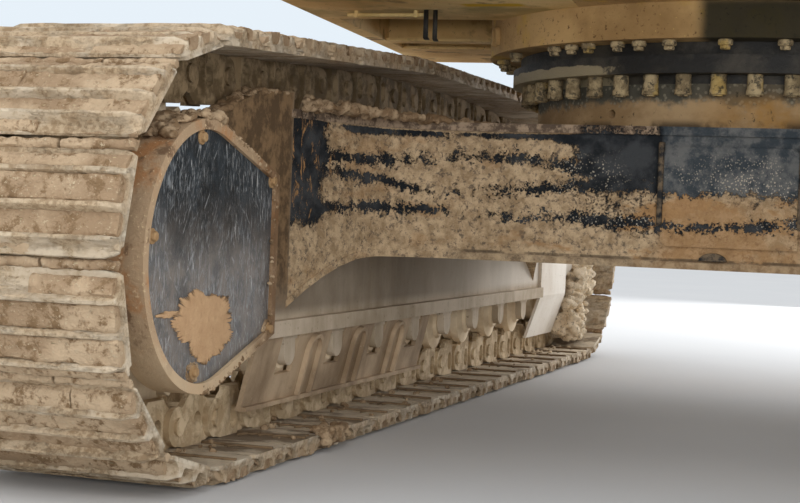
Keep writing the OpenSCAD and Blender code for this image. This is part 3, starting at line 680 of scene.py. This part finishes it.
clay = Finish("packed_clay", roughness=0.95, specular=0.15)
lump = noise(24, detail=7, rough=0.7)
crumb = noise(110, detail=4, rough=0.75)
wide = noise(4)
colour = mix(span(wide, 0.40, 0.60), (164, 138, 109), (198, 173, 142))
colour = mix(span(lump, 0.50, 0.62), colour, (134, 108, 79))
colour = mix(span(crumb, 0.58, 0.68), colour, (200, 182, 152))
straw = add("TexVoronoi", {"Vector": stretched((0.25, 1, 1)), "Scale": 90.0}, "Distance")
straw = times(span(straw, 0.14, 0.07), span(noise(6, detail=4), 0.46, 0.58))
colour = mix(straw, colour, (214, 196, 156))
paint(colour)
relief(lump, 0.011)
relief(crumb, 0.008)
relief(straw, 0.003)
order = [chance.randrange(variants) for k in range(links)]
for side, s in sides:
    groups = [copies("mud", patterns[v], [on_link(k, s * track_x) for k in range(links) if order[k] == v])
              for v in range(variants) if v in order]
    groups.append(copies("mud", wedge, [on_link(k, s * track_x) for k in bends]))
    mud = joined("packed_mud_" + side, groups)
    crumple(mud, 0.016, 0.012, 1.0)
    crumple(mud, 0.080, 0.010, 5.0)
    smooth(mud, 50)
    clay.coat(mud)
    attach(mud, "undercarriage")
drop(wedge, *patterns)


# Travel motor guards. A bent rim welded to each side frame and a bolted cover plate in
# black paint, scratched by stones. The rim has worn to rust and clay, and a splash of clay
# has dried on the lower half of the cover.

half_beam = 0.170
guard_depth = 0.090
cover_back = 0.010
face_x = track_x - half_beam - guard_depth + cover_back
drive_y = -run / 2

rim = Finish("rim_clay")
broad = noise(6, detail=6, rough=0.65)
fine = noise(75, rough=0.7)
colour = mix(span(broad, 0.38, 0.52), (172, 124, 82), (170, 144, 114))
colour = mix(span(noise(16, detail=4), 0.54, 0.64), colour, (122, 96, 72))
colour = mix(span(fine, 0.58, 0.68), colour, (206, 182, 146))
low_dust = times(span(axis("Z"), 0.42, 0.28), 0.8)
colour = mix(low_dust, colour, (196, 172, 140))
flat_side = times(span(axis("Y"), -1.92, -1.80), span(noise(9, detail=6, rough=0.7), 0.36, 0.56, 0.35, 0.85))
paint(mix(flat_side, colour, (112, 84, 58)))
relief(broad, 0.005)
relief(fine, 0.004)
rim.coat(*both("motor_guard"))

cover = Finish("scratched_cover", roughness=0.5, specular=0.3)
stone_marks = noise(46, detail=4, rough=0.7, stretch=(1, 1.8, 0.42), warp=1.6)
hair_lines = noise(85, detail=3, stretch=(1, 1.7, 0.20), shift=(0, 3, 1), warp=0.9)
patchy = noise(4, detail=7, rough=0.65, stretch=(1, 1, 0.7))
colour = mix(span(patchy, 0.40, 0.60), (27, 33, 37), (56, 64, 70))
low_grey = times(span(axis("Z"), 0.74, 0.48), span(patchy, 0.30, 0.52, 0.45, 0.95))
low_grey = times(low_grey, span(noise(14, detail=7, rough=0.75), 0.36, 0.60, 0.35, 1.0))
colour = mix(low_grey, colour, (108, 98, 89))
scoured = span(noise(7, rough=0.7, shift=(0, 1, 4)), 0.38, 0.56)
slanted = noise(60, detail=4, rough=0.65, stretch=(1, 1.8, 0.22), shift=(0, 6, 2), warp=1.2, turn=0.55)
crossed = noise(60, detail=4, rough=0.65, stretch=(1, 1.8, 0.25), shift=(0, 2, 8), warp=1.2, turn=-0.7)
upper = span(noise(3.4, detail=3, shift=(0, 5, 5)), 0.46, 0.54)
slanted = added(times(span(slanted, 0.58, 0.68), upper),
                times(span(crossed, 0.60, 0.70), span(upper, 1.0, 0.0)))
marks = times(span(stone_marks, 0.50, 0.66), scoured)
colour = mix(times(marks, 0.6), colour, (146, 150, 152))
colour = mix(times(span(hair_lines, 0.60, 0.70), scoured, 0.8), colour, (178, 178, 176))
colour = mix(times(slanted, 0.55), colour, (164, 166, 166))
paint(colour)
relief(stone_marks, 0.0012)
relief(patchy, 0.003)
cover.coat(*both("guard_cover"))


def bevelled(piece, width):
    """Rounds all edges of a piece in two steps."""
    edge = piece.modifiers.new("edge", "BEVEL")
    edge.width = width
    edge.segments = 2
    only(piece)
    bpy.ops.object.modifier_apply(modifier="edge")


def boss(name, r, high, place, aim, corners=6):
    """A bolt head that stands on place and points at aim, its rim bevelled."""
    head = rod(corners, r, high, (0, 0, high / 2))
    bevelled(head, min(r, high) * 0.25)
    head.data.transform(Matrix.Translation(place) @ Vector(aim).to_track_quat("Z", "Y").to_matrix().to_4x4())
    head.name = name
    return head


bolt_steel = Finish("bolt_steel", roughness=0.85)
paint(mix(noise(60, rough=0.7), (126, 88, 50), (184, 156, 116)))
relief(noise(140, detail=4, rough=0.7), 0.003)
cover_bolts = ((-2.206, 0.830), (-1.777, 0.740), (-2.444, 0.598), (-1.767, 0.357), (-2.210, 0.279))
for side, s in sides:
    heads = []
    for y, z in cover_bolts:
        heads.append(boss("head", 0.018, 0.005, (s * face_x, y, z), (-s, 0, 0), corners=20))
        heads.append(boss("head", 0.0125, 0.015, (s * face_x, y, z), (-s, 0, 0)))
    bolts = joined("cover_bolts_" + side, heads)
    bolt_steel.coat(bolts)
    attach(bolts, "undercarriage")

hub_x = 1.555
for side, s in sides:
    heads = [boss("head", 0.013, 0.011, (s * hub_x, y, z), (s, 0, 0))
             for y, z in ring(drive_y, axle_z, 0.098, 0, 330, 11)]
    heads.append(boss("plug", 0.020, 0.016, (s * hub_x, drive_y + 0.010, axle_z - 0.050), (s, 0, 0)))
    hub_bolts = joined("drive_cover_bolts_" + side, heads)
    bolt_steel.coat(hub_bolts)
    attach(hub_bolts, "undercarriage")

splash_mud = Finish("splash_clay", roughness=0.95, specular=0.15)
paint(mix(noise(22, detail=6, rough=0.7), (170, 132, 94), (216, 180, 140)))
relief(noise(18, detail=7, rough=0.75), 0.010)
relief(noise(80, rough=0.7), 0.004)


def splash(name, y, z, reach, high, points, seed, side, spikes):
    """A flat splash with ragged rays, thin at its edge and thicker in its middle."""
    dice = random.Random(seed)
    outline = []
    for k in range(points):
        turn = 2 * math.pi * k / points
        wave = 1 + 0.10 * math.sin(2 * turn + seed) + 0.08 * math.sin(3 * turn + 2 * seed)
        wave += 0.07 * math.sin(5 * turn + 1.3 * seed) + 0.05 * math.sin(11 * turn)
        r = wave * (1 - spikes * dice.random() ** 2 * (k % 2) - 0.08 * dice.random())
        outline.append((y + reach * r * math.cos(turn), z + high * r * math.sin(turn)))
    back, front = sorted((side * (face_x + 0.001), side * (face_x - 0.004)))
    cake = cut_out(name, [outline], back, front, bevel=0.0012)
    splash_mud.coat(cake)
    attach(cake, "undercarriage")


for side, s in sides:
    splash("clay_splash_" + side, -2.150, 0.388, 0.165, 0.086, 260, 4 + s, s, 0.22)
    splash("clay_spot_" + side, -2.345, 0.420, 0.060, 0.009, 60, 9 + s, s, 0.5)


# Heaps of clay. Clods that have dropped from the tracks and dried where they landed: on the
# guards, on the carbody's flanges, on the shoes and round the idlers.

heap_clay = Finish("heap_clay", roughness=0.95, specular=0.12)
broad = noise(12, detail=6, rough=0.7)
fine = noise(80, rough=0.75)
colour = mix(span(broad, 0.42, 0.60), (126, 102, 76), (180, 156, 126))
# Painted light: heaps towards the front, round the idlers, are painted much lighter
colour = mix(times(span(axis("Y"), 1.2, 2.0), 0.9), colour, (240, 222, 194))
paint(mix(span(fine, 0.54, 0.66), colour, (104, 82, 58)))
relief(broad, 0.006)
relief(fine, 0.005)

clods = []
for k in range(6):
    bpy.ops.mesh.primitive_ico_sphere_add(subdivisions=2, radius=1)
    clod = bpy.context.object
    edit(clod)
    bpy.ops.transform.vertex_random(offset=0.16, seed=k)
    bpy.ops.transform.resize(value=(1.0, 0.86, 0.72))
    bpy.ops.object.mode_set(mode="OBJECT")
    clods.append(clod)


def heap(name, places, seed, grain):
    """Clods at places, each (x, y, z, radius), turned at random and melted together."""
    dice = random.Random(seed)
    made = []
    for x, y, z, r in places:
        one = bpy.data.objects.new(name, clods[dice.randrange(len(clods))].data.copy())
        bpy.context.scene.collection.objects.link(one)
        turn = Matrix.Rotation(dice.uniform(0, 6.3), 4, "Z")
        turn = turn @ Matrix.Rotation(dice.uniform(-0.6, 0.6), 4, "X")
        one.data.transform(Matrix.Translation((x, y, z)) @ turn @ Matrix.Scale(r, 4))
        made.append(one)
    pile = joined(name, made)
    only(pile)
    melt = pile.modifiers.new("melt", "REMESH")
    melt.mode = "VOXEL"
    melt.voxel_size = grain
    bpy.ops.object.modifier_apply(modifier="melt")
    crumple(pile, 2.4 * grain, 2.4 * grain, 2.0)
    crumple(pile, 8 * grain, 3.5 * grain, 4.0)
    smooth(pile, 60)
    heap_clay.coat(pile)
    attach(pile, "undercarriage")


def strewn(count, seed, spot, size):
    """Places for clods: spot(dice) gives x, y and z, and size is the least and greatest radius."""
    dice = random.Random(seed)
    return [(*spot(dice), dice.uniform(*size)) for _ in range(count)]


rim_corners = ((-2.06, 0.856), (-1.764, 0.748), (-1.764, 0.352), (-2.06, 0.244), (-2.17, 0.226))
for side, s in sides:
    # On top of the motor guard's rim
    def on_rim(dice):
        turn = math.radians(dice.uniform(58, 124))
        y, z = drive_y + 0.338 * math.cos(turn), axle_z + 0.334 * math.sin(turn)
        return (s * (1.150 - dice.uniform(0.0, 0.085)), y, z)
    heap("guard_heap_" + side, strewn(110, 3 + s, on_rim, (0.006, 0.019)), 5, 0.005)

    # Crusts round the two lowest bolts of the cover
    def on_bolt(dice):
        y, z = dice.choice(cover_bolts[3:])
        turn, far = dice.uniform(0, 6.3), dice.uniform(0.4, 1.0) ** 0.5
        return (s * (face_x + 0.003), y + 0.034 * far * math.cos(turn), z + 0.024 * far * math.sin(turn))
    heap("bolt_crust_" + side, strewn(150, 14 + s, on_bolt, (0.004, 0.008)), 5, 0.0025)

    # Crumbs on the rim's face
    def on_face(dice):
        k = dice.choice((0, 0, 1, 2, 2, 3))
        t = dice.random()
        (y0, z0), (y1, z1) = rim_corners[k:k + 2]
        return (s * (1.061 + 0.002 * dice.random()), y0 + (y1 - y0) * t + dice.gauss(0, 0.006),
                z0 + (z1 - z0) * t + dice.gauss(0, 0.005))
    heap("rim_crumbs_" + side, strewn(170, 61 + s, on_face, (0.002, 0.0065)), 5, 0.002)

    # Along the two slopes of the side frame's inner plate, which meet at Y -1.71
    def on_edge(dice):
        y = dice.uniform(-1.96, -1.49)
        height = 0.905 + (y + 1.95) * 0.075 / 0.24 if y < -1.71 else 0.982 + (y + 1.71) * 0.013 / 0.23
        return (s * dice.uniform(1.150, 1.190), y, height - 0.004)
    heap("edge_heap_" + side, strewn(150, 8 + s, on_edge, (0.005, 0.015)), 6, 0.005)

    # On the carbody's top plate, at the foot of its rear leg
    def on_leg(dice):
        t = dice.random() ** 1.5
        y = -1.44 + 0.62 * t
        x = 1.150 - 0.36 * t - dice.uniform(0.0, 0.05)
        return (s * x, y + dice.uniform(0.0, 0.10), 0.950 + 0.030 * (1 - t) * dice.random())
    heap("leg_heap_" + side, strewn(330, 12 + s, on_leg, (0.006, 0.017)), 7, 0.006)

    # Clods on the lower run, beside the chain
    def on_run(dice):
        x = dice.choice((dice.uniform(0.11, 0.16), dice.uniform(0.10, 0.29), dice.uniform(-0.29, -0.12)))
        return (s * (track_x - x), dice.uniform(-2.0, 2.2), low_z - link_out + 0.004)
    heap("run_clods_" + side, strewn(110, 21 + s, on_run, (0.004, 0.013)), 8, 0.003)

    # A stack of clay round the idler, inboard of the chain
    def at_idler(dice):
        z = dice.uniform(0.10, 0.46)
        y = 2.06 + 0.25 * dice.random() + (0.10 if z > 0.3 else 0)
        return (s * (track_x - dice.uniform(0.12, 0.24)), y, z)
    heap("idler_heap_" + side, strewn(420, 31 + s, at_idler, (0.008, 0.030)), 9, 0.006)

    # A clod that bulges over the shoes' inboard edge, and one beside the chain
    def at_edge(dice):
        return (s * dice.uniform(1.000, 1.050), dice.uniform(-1.47, -1.30), dice.uniform(0.030, 0.066))
    heap("edge_clod_" + side, strewn(90, 41 + s, at_edge, (0.008, 0.020)), 9, 0.005)

    def at_chain(dice):
        up = dice.random()
        x, y = 1.270 + dice.gauss(0, 0.018) * (1 - up), -1.28 + dice.gauss(0, 0.022) * (1 - up)
        return (s * x, y, 0.056 + 0.055 * up)
    heap("chain_clod_" + side, strewn(60, 51 + s, at_chain, (0.008, 0.014)), 9, 0.004)
drop(*clods)


def laid(name, outline, low, high, bevel):
    """A flat sheet with an outline in X and Y, from low to high."""
    sheet = cut_out(name, [outline], low, high, bevel)
    sheet.data.transform(Matrix(((0, 1, 0, 0), (0, 0, 1, 0), (1, 0, 0, 0), (0, 0, 0, 1))))
    return sheet


damp_clay = Finish("damp_clay", roughness=0.95, specular=0.1)
paint(mix(noise(30, detail=6, rough=0.7), (96, 78, 58), (146, 122, 94)))
relief(noise(50, detail=6, rough=0.75), 0.006)
shoe_lip = 0.131
plate_z = low_z - link_out
steps = 22
for side, s in sides:
    sheets = []
    for k in range(1, run_shoes + 1):
        joint = -run / 2 + k * pitch - pitch + shoe_lip
        for first, last in ((-0.296, -0.098), (0.098, 0.296)):
            near, far = [], []
            for n in range(steps + 1):
                x = first + (last - first) * n / steps
                wide = 0.003 + 0.004 * chance.random()
                if abs(x) < 0.24 and chance.random() < 0.16 + 0.5 * (n % 7 > 4) * (k % 3 == 0):
                    wide += chance.uniform(0.01, 0.045)
                near.append((x + s * track_x, joint - wide))
                far.append((x + s * track_x, joint + 0.003 + 0.003 * chance.random()))
            sheets.append(laid("sheet", near + far[::-1], plate_z - 0.001, plate_z + 0.0065, 0.0015))
    sheet = joined("joint_clay_" + side, sheets)
    damp_clay.coat(sheet)
    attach(sheet, "undercarriage")


# Pedestal, races and bolts of the slewing ring. The pedestal carries the inner race. The
# outer race hangs from the drum, and its bolts pass through spacer sleeves below it. Grease
# has run over the steel, and dust sticks to it. A pale band low on the left of the races is
# partly dust and partly a painted highlight.

greasy_paint = Finish("greasy_ochre", roughness=0.85)
broad = noise(4.5, detail=6, stretch=(1, 1, 1.4))
fine = noise(46, rough=0.7)
colour = mix(span(broad, 0.40, 0.60), (160, 130, 92), (190, 160, 120))
greasy = added(times(noise(11, detail=6, rough=0.65), 0.7), span(axis("Z"), 0.985, 1.08, 0.0, 0.42))
colour = mix(span(greasy, 0.50, 0.66), colour, (96, 92, 80))
crumbly = times(specks(70, 0.42), span(greasy, 0.46, 0.60))
colour = mix(times(crumbly, 0.7), colour, (150, 142, 122))
rust_run = times(span(noise(4, detail=6, shift=(3, 0, 0)), 0.44, 0.58),
                 span(axis("X"), -0.20, 0.10, 0.0, 0.8),
                 span(axis("Z"), 1.075, 1.020, 0.15, 1.0))
colour = mix(rust_run, colour, (176, 130, 66))
stain = times(span(axis("Z"), 0.990, 0.962), span(noise(5, detail=6, shift=(0, 7, 0)), 0.48, 0.58, 0.0, 0.85))
colour = mix(stain, colour, (72, 60, 46))
colour = mix(span(fine, 0.60, 0.70), colour, (74, 66, 52))
paint(colour)
relief(broad, 0.004)
relief(fine, 0.003)
greasy_paint.coat(cad["ring_pedestal"])

grease = Finish("dark_grease", roughness=0.55, specular=0.4)
broad = noise(5, detail=7, rough=0.65)
colour = mix(span(broad, 0.42, 0.62), (34, 32, 29), (72, 66, 56))
# Partly dust and partly a painted highlight: a band low on the left of the races is painted pale
lit_band = times(span(axis("X"), -0.20, -0.55), span(axis("Z"), 1.160, 1.135))
dust_and_highlight = span(added(lit_band, times(noise(13, detail=7, rough=0.7), 1.5)), 1.22, 1.40)
paint(mix(dust_and_highlight, colour, (160, 146, 116)))
relief(noise(40, detail=6, rough=0.7), 0.005)
grease.coat(cad["outer_race"], cad["inner_race_gear"], cad["swing_pinion"])
wheel_dust.coat(cad["swivel_joint"])

race_r = 0.780
sleeve_r = 0.024
sleeve_gap = 0.011
bolt_circle = race_r + sleeve_r + sleeve_gap
outer_z = 1.115
slew = math.radians(5)
sleeve = rod(20, 0.0235, 0.061, (0, 0, -0.0305))
edit(sleeve)
bpy.ops.mesh.bisect(plane_co=(0, 0, -0.046), plane_no=(0, 0, 1))
bpy.ops.mesh.select_all(action="SELECT")
bpy.ops.mesh.bisect(plane_co=(0, 0, -0.043), plane_no=(0, 0, 1))
bpy.ops.object.mode_set(mode="OBJECT")
for corner in sleeve.data.vertices:
    if corner.co.z < -0.0445:
        corner.co.x *= 1.10
        corner.co.y *= 1.10
bevelled(sleeve, 0.003)
head = boss("head", 0.017, 0.004, (0, 0, -0.061), (0, 0, -1))
sleeve = joined("sleeve", [sleeve, head])
turns = [slew + math.radians(-2 + 7.5 * k) for k in range(48)]
sleeves = copies("race_sleeves", sleeve,
                 [Matrix.Translation((bolt_circle * math.cos(a), bolt_circle * math.sin(a), outer_z))
                  for a in turns])
smooth(sleeves, 30)
drop(sleeve)
sleeve_mud = Finish("sleeve_clay", roughness=0.85)
broad = noise(20, detail=6, rough=0.65)
colour = mix(span(broad, 0.40, 0.60), (138, 120, 90), (196, 174, 134))
yellow = span(noise(7, shift=(2, 2, 0)), 0.54, 0.60, 0.0, 0.55)
colour = mix(yellow, colour, (206, 172, 92))
oily = span(noise(52, detail=7, rough=0.75), 0.50, 0.60, 0.0, 0.85)
paint(mix(oily, colour, (66, 60, 50)))
relief(broad, 0.006)
relief(noise(90, rough=0.7), 0.004)
sleeve_mud.coat(sleeves)
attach(sleeves, "turntable")
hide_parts("race_bolts")


# Drum under the base frame. A rolled ring in ochre paint, with the heads of the race's
# bolts under it and a bent lug on its rear left. A painted shadow darkens the drum's rear face
# right of X -0.1, and the ochre above Z 1.34 is painted darker brown, so the lower faces stay
# lighter, as painted light.

ochre = Finish("rusty_ochre", roughness=0.85)
broad = noise(2.6, detail=7, rough=0.62)
fine = noise(70, detail=4, rough=0.7)
colour = mix(span(broad, 0.36, 0.64), (164, 130, 84), (208, 172, 118))
colour = mix(times(span(noise(5, shift=(4, 1, 0)), 0.54, 0.66), 0.7), colour, (206, 168, 72))
colour = mix(span(fine, 0.58, 0.70), colour, (112, 84, 54))
colour = mix(specks(46, 0.12), colour, (200, 168, 104))
# Painted shadow: the drum's rear face, right of X -0.1 and below Z 1.30, is painted nearly black
painted_drum_shadow = times(span(axis("X"), -0.13, -0.08), span(axis("Z"), 1.35, 1.30))
painted_drum_shadow = times(painted_drum_shadow, span(axis("Y"), 0.2, -0.2), 0.93)
# Painted light: above Z 1.34 the ochre is painted darker brown, so the lower faces stay lighter
colour = mix(span(axis("Z"), 1.34, 1.40, 0.0, 0.7), colour, (128, 102, 60))
paint(mix(painted_drum_shadow, colour, (28, 34, 27)))
relief(broad, 0.003)
relief(fine, 0.002)
ochre.coat(cad["turntable_drum"], cad["centre_frame"], cad["swing_drive"])

drum_r = 0.950
drum_z = 1.208
nub_circle = 0.905
nubs = [212.0, 229.2, 234.5, 239.1, 246.2, 250.9, 257.1, 267.7, 278.4] + [286 + 7.5 * k for k in range(37)]
heads = []
for turn in nubs:
    a = math.radians(turn)
    x, y = nub_circle * math.cos(a), nub_circle * math.sin(a)
    heads.append(boss("nub", 0.022, 0.018, (x, y, drum_z), (0, 0, -1), corners=16))
    heads.append(boss("nub", 0.017, 0.012, (x, y, drum_z - 0.018), (0, 0, -1)))
nub_heads = joined("drum_bolt_heads", heads)
sleeve_mud.coat(nub_heads)
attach(nub_heads, "turntable")

lug_turn = math.radians(208)
loop = [(0.027, 0.0)] + ring(0, 0.036, 0.027, 0, 180, 10) + [(-0.027, 0.0), (-0.021, 0.0)] \
    + ring(0, 0.036, 0.021, 180, 0, 10) + [(0.021, 0.0)]
lug = cut_out("lug", [loop], -0.006, 0.016, bevel=0.001)
lug_place = Matrix.Translation((drum_r * math.cos(lug_turn), drum_r * math.sin(lug_turn), 1.234))
lug.data.transform(lug_place @ Matrix.Rotation(lug_turn, 4, "Z"))
lug.name = "drum_lug"
ochre.coat(lug)
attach(lug, "turntable")


# Base frame's side decks. Thin plates and folded beams in the same ochre paint, seen from
# below. A pipe and two straps hang under the left one, and overspray has left a yellow
# patch. What stands above Z 1.34 is painted darker brown, so the undersides stay lighter, as
# painted light.

under = Finish("deck_underside", roughness=0.8)
broad = noise(1.8, detail=6)
fine = noise(60, detail=4, rough=0.7)
colour = mix(span(broad, 0.38, 0.62), (226, 188, 122), (252, 222, 160))
colour = mix(times(span(noise(7), 0.56, 0.68), 0.8), colour, (156, 122, 78))
colour = mix(span(fine, 0.62, 0.72), colour, (120, 90, 54))
patch_y = added(apart(axis("Y"), -0.862), times(noise(9, detail=4), 0.05))
patch = times(span(patch_y, 0.062, 0.052), span(apart(axis("X"), -0.745), 0.11, 0.08),
              span(axis("Z"), 1.325, 1.320))
olive = times(span(noise(2.2, shift=(0, 4, 0)), 0.46, 0.60), span(axis("Y"), -0.2, -1.0), 0.7)
colour = mix(olive, colour, (138, 122, 62))
# Painted light: above Z 1.34 the decks are painted darker brown, so the undersides stay lighter
colour = mix(span(axis("Z"), 1.34, 1.40, 0.0, 0.75), colour, (130, 103, 60))
paint(mix(patch, colour, (226, 184, 52)))
relief(broad, 0.002)
relief(fine, 0.0015)
under.coat(*both("deck"))

base_z = 1.313
park = Matrix.Rotation(slew, 4, "Z")


def strap(name, x, y, z, wide, thick, drop_by):
    """A flat hanger with a folded foot, turned with the parked frame."""
    form = [(0, 0), (0, -drop_by), (0.012, -drop_by - 0.004), (0.030, -drop_by - 0.004),
            (0.030, -drop_by - 0.004 + thick), (thick + 0.004, -drop_by + thick), (thick, 0)]
    piece = cut_out(name, [form], -wide / 2, wide / 2, bevel=0.0008)
    piece.data.transform(Matrix.Translation((x, y, z)) @ park)
    return piece


straps = joined("deck_straps", [strap("strap", -0.991, -0.762, base_z, 0.015, 0.004, 0.088),
                                strap("strap", -0.962, -0.757, base_z, 0.014, 0.004, 0.092)])
grease.coat(straps)
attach(straps, "turntable")

pipe = rod(16, 0.0065, 0.27, turned=lying)
edit(pipe)
bpy.ops.transform.vertex_random(offset=0.0004, seed=2)
bpy.ops.object.mode_set(mode="OBJECT")
clamp_form = [(-0.009, 0.014), (-0.009, -0.009), (0.009, -0.009), (0.009, 0.014)]
clamps = [cut_out("clamp", [clamp_form], x, x + 0.012, bevel=0.001) for x in (-0.11, 0.09)]
pipe = joined("deck_pipe", [pipe] + clamps)
pipe.data.transform(Matrix.Translation((-1.127, -0.739, base_z - 0.013)))
smooth(pipe, 30)
under.coat(pipe)
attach(pipe, "turntable")

# Raised bars of the tread plates, and the bolts that hold the plates down
bpy.ops.mesh.primitive_cone_add(vertices=8, radius1=0.5, radius2=0.36, depth=1)
stud = bpy.context.object
edit(stud)
bpy.ops.transform.resize(value=(0.036, 0.010, 0.003))
bpy.ops.transform.translate(value=(0, 0, 0.0012))
bpy.ops.object.mode_set(mode="OBJECT")
deck_top = base_z + 0.120
bar_step_x, bar_step_y = 0.069, 0.0665
for side, s in sides:
    spots = []
    for row in range(41):
        for column in range(12):
            x = s * (0.605 + bar_step_x * column + 0.0345 * (row % 2))
            turn = Matrix.Rotation(math.radians(45 if (row + column) % 2 else -45), 4, "Z")
            spots.append(park @ Matrix.Translation((x, -1.660 + bar_step_y * row, deck_top)) @ turn)
    bars = copies("tread_bars_" + side, stud, spots)
    under.coat(bars)
    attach(bars, "turntable")
    heads = [boss("bolt", 0.013, 0.009, park @ Vector((s * x, y, deck_top)), (0, 0, 1))
             for x in (0.580, 1.440) for y in (-1.60, -1.10, -0.60, -0.10, 0.40, 0.90)]
    holders = joined("deck_bolts_" + side, heads)
    bolt_steel.coat(holders)
    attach(holders, "turntable")
drop(stud)
